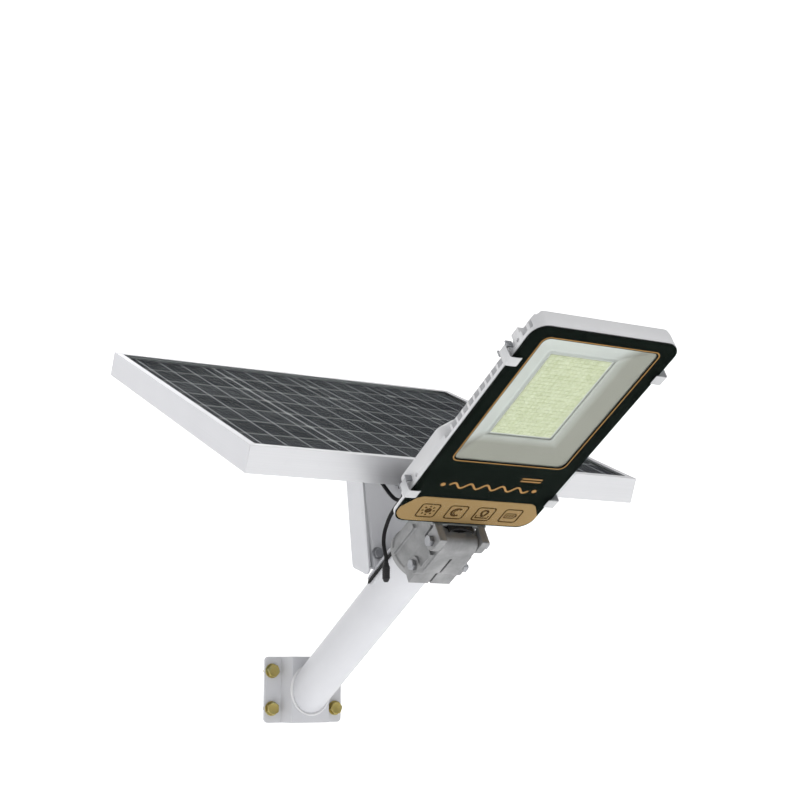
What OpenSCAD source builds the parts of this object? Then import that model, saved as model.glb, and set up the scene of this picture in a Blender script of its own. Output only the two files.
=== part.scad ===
// Solar street lamp: arm bracket, tilting solar panel and tilting lamp head.
// Origin: centre of the bracket's bolt pattern, on the plane of its rear faces.
// +Z is up, -Y points out from the pole or wall, X runs across.

/* [Bracket] */
// Height of the bent bracket plate
plate_height = 95; // [80:1:120]
// Width of the raised front face
face_width = 60; // [60:1:70]
// Distance from the rear plane to the front face
hat_depth = 28; // [24:1:36]
// Horizontal run of each sloped side of the hat
slope_run = 7; // [4:1:12]
// Width of each side flange
flange_width = 26; // [24:1:34]
// Thickness of the bracket sheet
plate_sheet = 4; // [3:0.5:5]
// Bolt spacing across
bolt_spacing_x = 104; // [100:1:106]
// Bolt spacing up and down
bolt_spacing_z = 54; // [48:1:60]
// Diameter of the fixing bolts
bolt_d = 10; // [8:1:12]
// Length of bolt that stands out behind the flanges
bolt_reach = 16; // [12:1:60]

/* [Arm] */
// Upward angle of the arm
arm_angle = 30; // [25:1:35]
// Outside diameter of the arm tube
tube_d = 60; // [58:0.5:60]
// Wall of the arm tube
tube_wall = 3; // [2:0.5:4]
// Length of the tube along its axis from the bracket face
tube_length = 440; // [430:1:442]

/* [Strut] */
// Width of the panel strut at the tilt bolt
strut_top_width = 100; // [96:1:102]
// Width of the panel strut at its foot
strut_foot_width = 74; // [74:1:80]
// Depth of the strut's channel section
strut_depth = 45; // [40:1:50]
// Sheet thickness of strut and cradle
strut_sheet = 3; // [2:0.5:3]
// Diameter of the panel's tilt bolt
tilt_bolt_d = 8; // [8:1:10]

/* [Panel] */
// Panel size across
panel_width = 580; // [520:5:620]
// Panel size along its slope
panel_height = 520; // [500:5:525]
// Depth of the aluminium frame
frame_depth = 35; // [30:1:35]
// Slope of the panel
panel_tilt = 23; // [20:1:25]

/* [Knuckle] */
// Distance along the arm where the clamp sleeve starts
sleeve_start = 346; // [340:1:350]
// Outside radius of the sleeve
sleeve_r = 38; // [36:0.5:40]
// Distance along the arm of the pinch bolt
pinch_at = 380; // [376:1:386]
// Distance along the arm of the head's pivot bolt
pivot_at = 433; // [430:1:436]
// Depth of both bolts below the arm's axis
pivot_drop = 37; // [36.5:0.5:40]

/* [Head] */
// Width of the lamp head
head_width = 206; // [200:1:212]
// Length of the lamp head's glass
head_length = 360; // [350:1:370]
// Distance along the arm where the glass starts
head_start = 452; // [452:1:456]
// Distance of the glass face below the arm's axis
glass_drop = 26; // [24:0.5:28]
// Width of the clear window
window_width = 160; // [150:1:166]
// Length of the clear window
window_length = 216; // [200:1:220]
// Number of cooling fins across the back
fin_count = 14; // [8:1:15]
// Distance between cooling fins
fin_pitch = 13.5; // [12:0.5:14]

/* [Latches] */
// Distance along the arm of the lower pair of latches
latch_low = 512; // [508:1:520]
// Distance along the arm of the upper pair of latches
latch_high = 757; // [750:1:762]
// Width of each latch clip
clip_width = 14; // [10:1:16]

/* [Hidden] */
$fn = 48;

// bracket
plate_width = face_width + 2 * (slope_run + flange_width);
slope_thickness = plate_sheet * sqrt(1 + pow(slope_run / (hat_depth - plate_sheet), 2));
slope_ratio = slope_run / (hat_depth - plate_sheet);
back_knee = face_width / 2 + slope_run - slope_thickness + slope_ratio * plate_sheet;
face_knee = face_width / 2 - slope_thickness + slope_ratio * plate_sheet;
flange_corner = 6;
bolt_hole_r = bolt_d / 2 + 0.5;
bolt_head_r = 9.8;
bolt_head_h = 6.4;
bolt_shank_r = 4.5;
bolt_thread_from = 0.3;
washer_r = 10.5;
washer_t = 2;
bracket_paint = [0.93, 0.93, 0.94];
zinc = [0.72, 0.66, 0.42];

// arm
tube_r = tube_d / 2;
pad_t = 3;
saddle_t = 2.5;
saddle_start = 266;
saddle_end = 342;
saddle_r = tube_r + pad_t + saddle_t;
saddle_screw_at = [306, 332];
saddle_screw_r = 2.5;

// panel place: centre of its top face, and the tilt bolt below it
panel_y = -189;
panel_z = 386;
tilt_u = -83;
tilt_w = -58;
tilt_y = panel_y + tilt_u * cos(panel_tilt) - tilt_w * sin(panel_tilt);
tilt_z = panel_z + tilt_u * sin(panel_tilt) + tilt_w * cos(panel_tilt);
tilt_r = tilt_bolt_d / 2;
bolt_play = 0.05;

// strut
strut_front = tilt_y - strut_depth / 2;
strut_rear = tilt_y + strut_depth / 2;
strut_foot_z = 155;
strut_heel_z = 169;
strut_web_top = tilt_z - 4;
strut_ear_r = 9;
strut_lean = atan((strut_top_width - strut_foot_width) / 2 / (tilt_z - strut_foot_z));
tab_bolt_x = 25;
tab_bolt_z = 181;

// panel
lip = 10;
frame_wall = 2;
frame_foot = 20;
lip_t = 1.5;
pane_t = 3.2;
cell_t = 0.6;
sheet_t = 0.5;
pane_gap = 1;
pane_w = panel_width - 2 * (frame_wall + pane_gap);
pane_h = panel_height - 2 * (frame_wall + pane_gap);
rail_x = 66;
rail_width = 30;
rail_web = 8;
rail_screw_x = 11.5;
rail_depth = 10;
cradle_low = -108;
cradle_high = -30;
cradle_width = 168;
box_x = 138;
box_u = 40;
box_w = 104;
box_h = 62;
box_t = 20;
box_gland_x = -38;
lid_t = 3;

// knuckle
sleeve_end = pivot_at + 12;
lug_half = 26;
ear_in = lug_half + 0.4;
ear_out = 37;
ear_r = 12.5;
m8_r = 4;
lug_bottom = pivot_drop + ear_r;

// head, as distance along the arm and height above the arm's axis
head_end = head_start + head_length;
half_w = head_width / 2;
head_mid = head_start + head_length / 2;
glass_t = 3.2;
print_t = 0.5;
rim_n = -20;
mask_n = glass_t - glass_drop + print_t;
gasket_n = mask_n + print_t;
rim_top = -16;
side_n = -8;
ridge_n = 1;
ridge_half = 88;
shell_inset = 6;
shell_half = half_w - shell_inset;
lug_start = 12;
lug_end = 26;
fin_t = 4;
fin_first = 620;
tail_start = 492;
tail_end = 604;
cover_gap = 0.3;
tail_side_n = 7;
tail_top_n = 19;
tail_half = 82;
wall = 3.5;
window_mid = 686;
led_n = -7;
led_width = 86;
led_length = 140;
neck_half = 40;
neck_top = 14;
gland_at = [[-68, 8], [-86, 0]];
gland_r = 7;
gland_thread_r = 5;
gland_tip = 470;

// latches
pin_x = half_w + 5.5;
pin_n = -10;
pin_r = 1.5;
clip_t = 2;
hook_reach = 9;

// cables, as points in the lamp's own frame
cable_r = 2.5;
coupler_y = -277;
coupler_z = 290;
cable_sides = 10;
panel_route = [on_panel_at(100, -5, -15.8), on_panel_at(100, -17, -15.8), [99.5, -210.5, 357.5],
               [98.5, -223, 348.5], [97, -236.5, 339], [94.5, -249, 328], [91, -260.5, 317],
               [85.5, -270.5, 307.5],
               [77, -276.5, 298.5], [69, -278.5, 291.5], [60, coupler_y, 290.5], [51, coupler_y, coupler_z],
               [42, coupler_y, coupler_z]];
lamp_route = [[-14, coupler_y, coupler_z], [-26, coupler_y, coupler_z], [-37, -279, 288.5], [-48, -284, 285],
              [-58, -293, 280.5], [-67, -304, 276], [-75, -317, 273], [-81, -331, 271.5],
              [-84.5, -345, 270.5], [-86, -359, 268.5], [-86.5, -371, 265], [-86, -382, 259],
              [-84.5, -390, 251], [-81.5, -396, 243], [-77.5, -402, 236.5], [-73, -410, 234],
              [-69.5, -416, 234.5], at_gland(0, gland_tip - 11), at_gland(0, gland_tip)];
tail_route = [at_gland(1, gland_tip), at_gland(1, gland_tip - 11), [-86, -414.5, 222.5], [-86, -404, 214.5],
              [-85.5, -395, 205], [-85, -388, 194.5], [-83.5, -383.5, 183], [-81, -382, 173],
              [-79, -382, 165.5], [-79, -382, 160]];
plug_length = 26;

// Point given across, along and above the arm, and across, up and out of the panel
function at_arm(x, s, n) = [x, n * sin(arm_angle) - s * cos(arm_angle) - hat_depth,
    s * sin(arm_angle) + n * cos(arm_angle)];
function on_panel_at(x, u, w) = [x, panel_y + u * cos(panel_tilt) - w * sin(panel_tilt),
    panel_z + u * sin(panel_tilt) + w * cos(panel_tilt)];

function at_gland(i, s) = at_arm(gland_at[i][0], s, gland_at[i][1]);

function unit(v) = v / norm(v);
function heading(path, i) = let (last = len(path) - 1)
    unit(path[min(i + 1, last)] - path[max(i - 1, 0)]);
function ring(centre, along, r, sides) = let (
    side = unit(cross(along, abs(along[2]) > 0.9 ? [0, 1, 0] : [0, 0, 1])),
    up = cross(side, along))
    [for (k = [0:sides - 1]) centre + r * (cos(k * 360 / sides) * side + sin(k * 360 / sides) * up)];

// Round tube through the points of a path, closed at both ends
module swept_tube(path, r, sides) {
    count = len(path);
    points = [for (i = [0:count - 1]) each ring(path[i], heading(path, i), r, sides)];
    walls = [for (i = [0:count - 2], k = [0:sides - 1])
        [i * sides + k, (i + 1) * sides + k, (i + 1) * sides + (k + 1) % sides, i * sides + (k + 1) % sides]];
    first = [for (k = [0:sides - 1]) k];
    last = [for (k = [sides - 1:-1:0]) (count - 1) * sides + k];
    polyhedron(points = points, faces = concat([first, last], walls), convexity = 10);
}

// Frame of the arm: X across, -Y along the arm, Z away from the arm's upper side
module along_arm() {
    translate([0, -hat_depth, 0]) rotate([-arm_angle, 0, 0]) children();
}

// Frame of the panel: X across, Y up the slope, Z out of the glass
module on_panel() {
    translate([0, panel_y, panel_z]) rotate([panel_tilt, 0, 0]) children();
}

// Box in the arm's frame from its limits across, along and above
module block(across, along, above) {
    translate([across[0], -along[1], above[0]])
        cube([across[1] - across[0], along[1] - along[0], above[1] - above[0]]);
}

// Cylinder along the arm
module rod(x, n, from, to, r) {
    translate([x, -from, n]) rotate([90, 0, 0]) cylinder(r = r, h = to - from);
}

// Cylinder across, in any frame
module cross_rod(from, to, y, z, r, sides = 48) {
    translate([from, y, z]) rotate([0, 90, 0]) cylinder(r = r, h = to - from, $fn = sides);
}

// Rectangle with round corners
module round_rect(w, h, r) {
    square([w - 2 * r, h], center = true);
    square([w, h - 2 * r], center = true);
    for (i = [-1, 1], j = [-1, 1]) translate([i * (w / 2 - r), j * (h / 2 - r)]) circle(r = r);
}

// Plate in the arm's frame: an outline centred at a distance along the arm
module arm_plate(mid, low, high) {
    translate([0, -mid, low]) linear_extrude(high - low) children();
}

// Section across the head, extruded along the arm
module head_section(from, to, points) {
    translate([0, -from, 0]) rotate([90, 0, 0]) linear_extrude(to - from) polygon(points);
}

module at_bolts() {
    for (i = [-1, 1], k = [-1, 1]) translate([i * bolt_spacing_x / 2, 0, k * bolt_spacing_z / 2]) children();
}

module wall_bracket() {
    front = [[-plate_width / 2, -plate_sheet], [-face_width / 2 - slope_run, -plate_sheet],
             [-face_width / 2, -hat_depth], [face_width / 2, -hat_depth],
             [face_width / 2 + slope_run, -plate_sheet], [plate_width / 2, -plate_sheet]];
    back = [[plate_width / 2, 0], [back_knee, 0], [face_knee, plate_sheet - hat_depth],
            [-face_knee, plate_sheet - hat_depth], [-back_knee, 0], [-plate_width / 2, 0]];
    color(bracket_paint) difference() {
        intersection() {
            translate([0, 0, -plate_height / 2]) linear_extrude(plate_height) polygon(concat(front, back));
            rotate([90, 0, 0]) translate([0, 0, -1]) linear_extrude(hat_depth + 2)
                round_rect(plate_width, plate_height, flange_corner);
        }
        at_bolts() rotate([90, 0, 0]) translate([0, 0, -1]) cylinder(r = bolt_hole_r, h = plate_sheet + 2);
    }
}

module wall_bolts() {
    color(zinc) at_bolts() {
        translate([0, -plate_sheet - washer_t, 0]) rotate([90, 0, 0])
            cylinder(r = bolt_head_r, h = bolt_head_h, $fn = 6);
        translate([0, bolt_reach, 0]) rotate([90, 0, 0])
            cylinder(r = bolt_d / 2, h = bolt_reach - bolt_thread_from);
        translate([0, bolt_thread_from, 0]) rotate([90, 0, 0])
            cylinder(r = bolt_shank_r, h = bolt_thread_from + plate_sheet + washer_t);
    }
}

module wall_washers() {
    color(zinc) at_bolts() translate([0, -plate_sheet, 0]) rotate([90, 0, 0]) difference() {
        cylinder(r = washer_r, h = washer_t);
        translate([0, 0, -1]) cylinder(r = bolt_hole_r, h = washer_t + 2);
    }
}

// Places of the two screws that hold the saddle on the tube
module at_saddle_screws(n) {
    for (s = saddle_screw_at) translate([0, -s, n]) children();
}

module saddle_screw_holes() {
    at_saddle_screws(tube_r - 10) cylinder(r = saddle_screw_r, h = 20);
}

module arm_tube() {
    color(bracket_paint) difference() {
        along_arm() rod(0, 0, -40, tube_length, tube_r);
        along_arm() rod(0, 0, -50, tube_length + 10, tube_r - tube_wall);
        along_arm() saddle_screw_holes();
        translate([-50, -hat_depth, -80]) cube([100, 100, 160]);
    }
}

module weld_bead() {
    bead = 3.5;
    color([0.85, 0.85, 0.86]) difference() {
        intersection() {
            along_arm() rod(0, 0, -40, 40, tube_r + bead);
            translate([-face_width / 2, -hat_depth - bead, -60]) cube([face_width, bead, 120]);
        }
        along_arm() rod(0, 0, -50, 50, tube_r);
    }
}

module saddle_pad() {
    color([0.06, 0.06, 0.06]) along_arm() intersection() {
        difference() {
            rod(0, 0, saddle_start - 3, saddle_end + 3, tube_r + pad_t);
            rod(0, 0, saddle_start - 5, saddle_end + 5, tube_r);
            saddle_screw_holes();
        }
        block([-40, 40], [saddle_start - 5, saddle_end + 5], [11, 40]);
    }
}

module strut_saddle() {
    color(bracket_paint) {
        along_arm() intersection() {
            difference() {
                rod(0, 0, saddle_start, saddle_end, saddle_r);
                rod(0, 0, saddle_start - 2, saddle_end + 2, tube_r + pad_t);
                saddle_screw_holes();
            }
            block([-40, 40], [saddle_start - 2, saddle_end + 2], [16, 40]);
        }
        difference() {
            translate([-32, strut_front + strut_sheet, 160]) cube([64, 3, 34]);
            along_arm() rod(0, 0, 240, 360, saddle_r);
            for (i = [-1, 1]) translate([i * tab_bolt_x, strut_front + 10, tab_bolt_z]) rotate([90, 0, 0])
                cylinder(r = m8_r, h = 12);
        }
    }
}

module saddle_screws() {
    color([0.5, 0.5, 0.52]) along_arm() {
        at_saddle_screws(saddle_r) cylinder(r = 5.5, h = 3, $fn = 6);
        at_saddle_screws(tube_r - 8) cylinder(r = saddle_screw_r, h = saddle_r - tube_r + 8);
    }
}

// Side sheet of the strut, drawn flat in the Y-Z plane
module strut_side() {
    heel_y = strut_rear - 8;
    toe_y = strut_front + 10;
    rotate([90, 0, 90]) linear_extrude(strut_sheet) union() {
        polygon([[strut_front, strut_foot_z + 8], [toe_y, strut_foot_z - 2], [heel_y, strut_heel_z - 7],
                 [strut_rear, strut_heel_z + 1], [strut_rear, tilt_z], [tilt_y + strut_ear_r, tilt_z],
                 [tilt_y - strut_ear_r, tilt_z], [strut_front, strut_web_top]]);
        translate([toe_y, strut_foot_z + 8]) circle(r = 10);
        translate([heel_y, strut_heel_z + 1]) circle(r = 8);
        translate([tilt_y, tilt_z]) circle(r = strut_ear_r);
    }
}

module panel_strut() {
    top_half = strut_top_width / 2;
    foot_half = strut_foot_width / 2;
    color(bracket_paint) difference() {
        union() {
            translate([0, strut_front + strut_sheet, 0]) rotate([90, 0, 0]) linear_extrude(strut_sheet)
                polygon([[-foot_half, strut_foot_z + 6], [foot_half, strut_foot_z + 6],
                         [top_half - 0.4, strut_web_top], [0.4 - top_half, strut_web_top]]);
            for (i = [0, 1]) mirror([i, 0, 0]) translate([foot_half, 0, strut_foot_z])
                rotate([0, strut_lean, 0]) translate([-strut_sheet, 0, -strut_foot_z]) strut_side();
        }
        along_arm() rod(0, 0, 240, 360, saddle_r);
        cross_rod(-top_half - 10, top_half + 10, tilt_y, tilt_z, tilt_r + bolt_play);
        for (i = [-1, 1]) translate([i * tab_bolt_x, strut_front + 10, tab_bolt_z]) rotate([90, 0, 0])
            cylinder(r = m8_r, h = 12);
    }
}

module strut_bolts() {
    color([0.35, 0.37, 0.42]) for (i = [-1, 1]) translate([i * tab_bolt_x, strut_front, tab_bolt_z])
        rotate([90, 0, 0]) {
            cylinder(r = 8, h = 1.5);
            translate([0, 0, 1.5]) cylinder(r = 7.5, h = 5.5, $fn = 6);
            translate([0, 0, -14]) cylinder(r = m8_r, h = 14);
            translate([0, 0, -12.5]) cylinder(r = 7.5, h = 6.5, $fn = 6);
        }
}

module tilt_bolt() {
    reach = strut_top_width / 2 + 5.2;
    color([0.7, 0.7, 0.72]) {
        cross_rod(-reach - 1, reach + 12, tilt_y, tilt_z, tilt_r);
        cross_rod(-reach - 7, -reach - 0.3, tilt_y, tilt_z, 7.5, 6);
        cross_rod(reach + 0.3, reach + 7, tilt_y, tilt_z, 7.5, 6);
    }
}

module cable_coupler() {
    color([0.08, 0.08, 0.09]) {
        cross_rod(-6, 34, coupler_y, coupler_z, 7);
        cross_rod(-14, -6, coupler_y, coupler_z, 5);
        cross_rod(34, 42, coupler_y, coupler_z, 5);
    }
}

module cable_clip() {
    color([0.15, 0.15, 0.15]) {
        difference() {
            cross_rod(8, 20, coupler_y, coupler_z, 9);
            cross_rod(7, 21, coupler_y, coupler_z, 7);
        }
        difference() {
            translate([8, coupler_y, coupler_z - 20]) cube([12, strut_front - coupler_y, 14]);
            cross_rod(7, 21, coupler_y, coupler_z, 9);
        }
    }
}

module knuckle_sleeve() {
    bore_r = tube_r + bolt_play;
    color([0.66, 0.67, 0.68]) along_arm() difference() {
        union() {
            rod(0, 0, sleeve_start, sleeve_end, sleeve_r);
            block([-31, 31], [sleeve_start + 6, pivot_at - 18], [-46, 0]);
            block([-lug_half, lug_half], [pinch_at, pivot_at], [-lug_bottom, -20]);
            cross_rod(-lug_half, lug_half, -pivot_at, -pivot_drop, ear_r - 0.3);
            for (i = [0, 1]) mirror([i, 0, 0]) {
                cross_rod(20, 35, -pinch_at, -pivot_drop, 11);
                block([34, 42], [sleeve_start + 4, pivot_at - 20], [-3, 3]);
            }
            for (s = [sleeve_start, sleeve_end - 8]) rod(0, 0, s, s + 8, sleeve_r + 2);
        }
        rod(0, 0, sleeve_start - 2, sleeve_end + 2, bore_r);
        block([-1.5, 1.5], [sleeve_start - 2, pivot_at - 20], [-60, 0]);
        for (i = [0, 1]) mirror([i, 0, 0])
            block([lug_half, 50], [pivot_at - 15, sleeve_end + 2], [-70, -18]);
        cross_rod(-50, 50, -pinch_at, -pivot_drop, m8_r + bolt_play);
        cross_rod(-50, 50, -pivot_at, -pivot_drop, m8_r + bolt_play);
    }
}

// M8 bolt across the arm with its nut, heads outside the given half width
module through_bolt(s, half) {
    color([0.55, 0.55, 0.56]) along_arm() {
        cross_rod(-half, half + 12, -s, -pivot_drop, m8_r);
        cross_rod(-half - 5.5, -half, -s, -pivot_drop, 7.5, 6);
        cross_rod(half + 1.6, half + 8.4, -s, -pivot_drop, 7.5, 6);
        difference() {
            cross_rod(half, half + 1.6, -s, -pivot_drop, 8.5);
            cross_rod(half - 1, half + 3, -s, -pivot_drop, m8_r);
        }
    }
}

module pinch_bolt() {
    through_bolt(pinch_at, 35);
}

module pivot_bolt() {
    through_bolt(pivot_at, ear_out + 0.3);
}

module tube_plug() {
    color([0.1, 0.1, 0.1]) along_arm() {
        rod(0, 0, tube_length - 14, tube_length, tube_r - tube_wall);
        rod(0, 0, tube_length, tube_length + 3, tube_r - 1);
    }
}

// One frame rail along X with its outer face on Y = 0, mitred at both ends
module frame_rail(length) {
    slot_top = -lip_t;
    slot_low = slot_top - pane_t - cell_t - sheet_t;
    difference() {
        rotate([90, 0, 90]) translate([0, 0, -length / 2]) linear_extrude(length) difference() {
            polygon([[0, 0], [lip, 0], [lip, slot_low - 1.5], [frame_wall, slot_low - 1.5],
                     [frame_wall, frame_wall - frame_depth], [frame_foot, frame_wall - frame_depth],
                     [frame_foot, -frame_depth], [0, -frame_depth]]);
            translate([frame_wall, slot_low]) square([lip, slot_top - slot_low]);
        }
        for (i = [0, 1]) mirror([i, 0, 0]) translate([length / 2, 0, -frame_depth - 1]) rotate([0, 0, 45])
            cube([50, 50, frame_depth + 2]);
    }
}

module frame_front() {
    color([0.86, 0.87, 0.88]) on_panel() translate([0, -panel_height / 2, 0]) frame_rail(panel_width);
}

module frame_rear() {
    color([0.86, 0.87, 0.88]) on_panel() rotate([0, 0, 180]) translate([0, -panel_height / 2, 0])
        frame_rail(panel_width);
}

module frame_left() {
    color([0.84, 0.85, 0.86]) on_panel() rotate([0, 0, -90]) translate([0, -panel_width / 2, 0])
        frame_rail(panel_height);
}

module frame_right() {
    color([0.84, 0.85, 0.86]) on_panel() rotate([0, 0, 90]) translate([0, -panel_width / 2, 0])
        frame_rail(panel_height);
}

module corner_keys() {
    inset = frame_wall + 0.1;
    arm = 22;
    color([0.7, 0.7, 0.7]) on_panel() for (i = [0, 1], j = [0, 1]) mirror([i, 0, 0]) mirror([0, j, 0])
        translate([-panel_width / 2 + inset, -panel_height / 2 + inset, frame_wall + 0.2 - frame_depth]) {
            cube([arm, 4, 12]);
            cube([4, arm, 12]);
        }
}

// Flat layer of the laminate, from one height to another
module pane(low, high) {
    translate([-pane_w / 2, -pane_h / 2, low]) cube([pane_w, pane_h, high - low]);
}

module panel_glass() {
    color([0.2, 0.22, 0.26, 0.4]) on_panel() pane(-lip_t - pane_t, -lip_t);
}

module solar_cells() {
    color([0.09, 0.1, 0.13]) on_panel() pane(-lip_t - pane_t - cell_t, -lip_t - pane_t);
}

module backsheet() {
    color([0.93, 0.93, 0.92]) on_panel() pane(-lip_t - pane_t - cell_t - sheet_t, -lip_t - pane_t - cell_t);
}

module at_box(w) {
    on_panel() translate([box_x, box_u, -lip_t - pane_t - cell_t - sheet_t - w]) children();
}

module junction_box() {
    color([0.1, 0.1, 0.1]) at_box(box_t) difference() {
        linear_extrude(box_t) round_rect(box_w, box_h, 6);
        translate([0, 0, -1]) linear_extrude(box_t - 2) round_rect(box_w - 5, box_h - 5, 4);
        translate([box_gland_x, -box_h / 2 - 1, box_t / 2]) rotate([-90, 0, 0]) cylinder(r = 6, h = 8);
    }
}

module junction_lid() {
    color([0.12, 0.12, 0.12]) at_box(box_t + lid_t) {
        linear_extrude(lid_t) round_rect(box_w, box_h, 6);
        for (i = [-1, 1], j = [-1, 1]) translate([i * 42, j * 21, -1.2]) cylinder(r = 4, h = 1.2);
    }
}

module junction_gland() {
    color([0.08, 0.08, 0.08]) at_box(box_t) translate([box_gland_x, -box_h / 2 - 14, box_t / 2])
        rotate([-90, 0, 0]) {
        cylinder(r1 = 4.5, r2 = 8, h = 8);
        translate([0, 0, 8]) cylinder(r = 9, h = 6, $fn = 6);
        translate([0, 0, 14]) cylinder(r = 6, h = 3);
    }
}

module support_rails() {
    length = panel_height - 2 * frame_wall - 2;
    color([0.8, 0.81, 0.82]) on_panel() for (i = [-1, 1]) translate([i * rail_x, 0, frame_wall - frame_depth])
        rotate([90, 0, 0]) translate([0, 0, -length / 2]) linear_extrude(length) difference() {
            polygon([[-rail_width / 2, 0], [rail_width / 2, 0], [rail_width / 2, 2], [rail_web, 2],
                     [rail_web, rail_depth], [-rail_web, rail_depth], [-rail_web, 2], [-rail_width / 2, 2]]);
            translate([2 - rail_web, -2]) square([2 * rail_web - 4, rail_depth]);
        }
}

module rail_bolts() {
    color([0.7, 0.7, 0.72]) on_panel() for (i = [-1, 1], j = [-1, 1], k = [-1, 1])
        translate([i * rail_x + k * rail_screw_x, j * (panel_height / 2 - 11), -frame_depth - 3])
            cylinder(r = 3, h = 3, $fn = 6);
}

module tilt_cradle() {
    plate_top = frame_wall - frame_depth;
    plate_low = plate_top - strut_sheet;
    ear_x = strut_top_width / 2 + 2;
    color([0.82, 0.83, 0.84]) on_panel() difference() {
        union() {
            translate([-cradle_width / 2, cradle_low, plate_low])
                cube([cradle_width, cradle_high - cradle_low, strut_sheet]);
            for (i = [0, 1]) mirror([i, 0, 0]) {
                translate([ear_x, tilt_u - 14, tilt_w]) cube([strut_sheet, 28, plate_low - tilt_w]);
                cross_rod(ear_x, ear_x + strut_sheet, tilt_u, tilt_w, 14);
            }
        }
        translate([-ear_x - 10, tilt_u - 30, plate_top]) cube([2 * ear_x + 20, 60, 30]);
        cross_rod(-70, 70, tilt_u, tilt_w, tilt_r + bolt_play);
    }
}

module cradle_bolts() {
    color([0.7, 0.7, 0.72]) on_panel() for (i = [-1, 1], u = [cradle_low + 12, cradle_high - 12])
        translate([i * (rail_x + rail_screw_x), u, frame_wall - frame_depth - strut_sheet - 4.5])
            cylinder(r = 6, h = 4.5, $fn = 6);
}

module panel_cable() {
    color([0.05, 0.05, 0.05]) swept_tube(panel_route, cable_r, cable_sides);
}

// Outline of the head in plan, shrunk by an inset
module head_outline(inset) {
    round_rect(head_width - 2 * inset, head_length - 2 * inset, 20 - inset / 2);
}

module head_housing() {
    shell = [[-shell_half, rim_top], [shell_half, rim_top], [shell_half, side_n - 4],
             [ridge_half - 4, ridge_n - 1], [4 - ridge_half, ridge_n - 1], [-shell_half, side_n - 4]];
    fin = [[-half_w, rim_top], [half_w, rim_top], [half_w, side_n], [ridge_half, ridge_n + 6],
           [-ridge_half, ridge_n + 6], [-half_w, side_n]];
    cap = [[-half_w, rim_top], [half_w, rim_top], [half_w, side_n], [ridge_half, ridge_n],
           [-ridge_half, ridge_n], [-half_w, side_n]];
    color([0.9, 0.9, 0.9]) along_arm() difference() {
        intersection() {
            union() {
                arm_plate(head_mid, rim_n, rim_top) head_outline(0);
                head_section(tail_end + cover_gap, head_end - 4, shell);
                head_section(head_end - 9, head_end, cap);
                for (i = [0:fin_count - 1])
                    head_section(fin_first + i * fin_pitch, fin_first + i * fin_pitch + fin_t, fin);
                block([-half_w, half_w], [tail_start, tail_end + 1], [rim_top, side_n - 2]);
                for (i = [0, 1], s = [latch_low, latch_high]) mirror([i, 0, 0])
                    block([95, half_w + 2], [s + lug_start, s + lug_end],
                          [-18, s == latch_low ? side_n - 2 : 0]);
            }
            arm_plate(head_mid, rim_n, 40) head_outline(0);
        }
        arm_plate(window_mid, rim_n - 1, -5) round_rect(window_width + 14, window_length + 14, 10);
        block([-92, 92], [tail_start + 5, tail_end - 8], [-16, 10]);
        for (i = [0, 1], s = [latch_low, latch_high]) mirror([i, 0, 0])
            cross_rod(98, 110, -(s + 19), -13, 2.6);
    }
}

module rear_cover() {
    low = side_n - 2;
    outer = [[-half_w, low], [half_w, low], [half_w, tail_side_n], [tail_half, tail_top_n],
             [-tail_half, tail_top_n], [-half_w, tail_side_n]];
    inner = [[wall - half_w, low - 1], [half_w - wall, low - 1], [half_w - wall, tail_side_n - 2],
             [tail_half - 1, tail_top_n - wall], [1 - tail_half, tail_top_n - wall],
             [wall - half_w, tail_side_n - 2]];
    color([0.91, 0.91, 0.91]) along_arm() difference() {
        intersection() {
            head_section(tail_start, tail_end, outer);
            arm_plate(head_mid + 20, low, 40) round_rect(head_width, head_length + 0.1, 26);
        }
        head_section(tail_start + wall, tail_end - wall, inner);
        for (p = gland_at) rod(p[0], p[1], tail_start - 2, tail_start + 8, gland_thread_r + bolt_play);
    }
}

module cover_screws() {
    color([0.75, 0.75, 0.76]) along_arm() for (i = [-1, 1], s = [tail_start + 14, tail_end - 10])
        translate([i * 70, -s, tail_top_n]) cylinder(r = 3.6, h = 2);
}

module neck_casting() {
    wall_from = pivot_at + 14;
    color([0.64, 0.65, 0.66]) along_arm() difference() {
        union() {
            block([-neck_half, neck_half], [wall_from, head_start - 0.5], [-24, neck_top]);
            block([-neck_half, neck_half], [head_start - 0.5, tail_start], [rim_top, neck_top]);
            for (i = [0, 1]) mirror([i, 0, 0]) {
                block([ear_in, ear_out], [pivot_at, head_start - 0.5], [-lug_bottom, ear_r - pivot_drop]);
                block([ear_in, ear_out], [wall_from, head_start - 0.5], [-lug_bottom, -20]);
                cross_rod(ear_in, ear_out, -pivot_at, -pivot_drop, ear_r);
            }
        }
        cross_rod(-50, 50, -pivot_at, -pivot_drop, m8_r + bolt_play);
        block([-30, 30], [head_start + 6, tail_start - 6], [rim_top + 4, neck_top + 1]);
    }
}

module neck_screws() {
    color([0.5, 0.5, 0.52]) along_arm() for (i = [-1, 1], s = [head_start + 10, tail_start - 8])
        translate([i * 35, -s, neck_top]) cylinder(r = 4, h = 2.5);
}

module neck_seal() {
    color([0.04, 0.04, 0.04]) along_arm() block([-18, 18], [pivot_at + 14.5, head_start - 0.5], [-34, -24.2]);
}

module glass_gasket() {
    color([0.12, 0.12, 0.12]) along_arm() arm_plate(head_mid, gasket_n, rim_n) difference() {
        head_outline(1);
        head_outline(9);
    }
}

module front_glass() {
    color([0.6, 0.65, 0.65, 0.3]) along_arm()
        arm_plate(head_mid, -glass_drop, glass_t - glass_drop) head_outline(0);
}

module window_shape(grow) {
    translate([0, head_mid - window_mid]) round_rect(window_width + grow, window_length + grow, 9);
}

module glass_mask() {
    color([0.05, 0.06, 0.05]) along_arm() arm_plate(head_mid, mask_n, gasket_n) difference() {
        head_outline(0.5);
        window_shape(0);
    }
}

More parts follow.
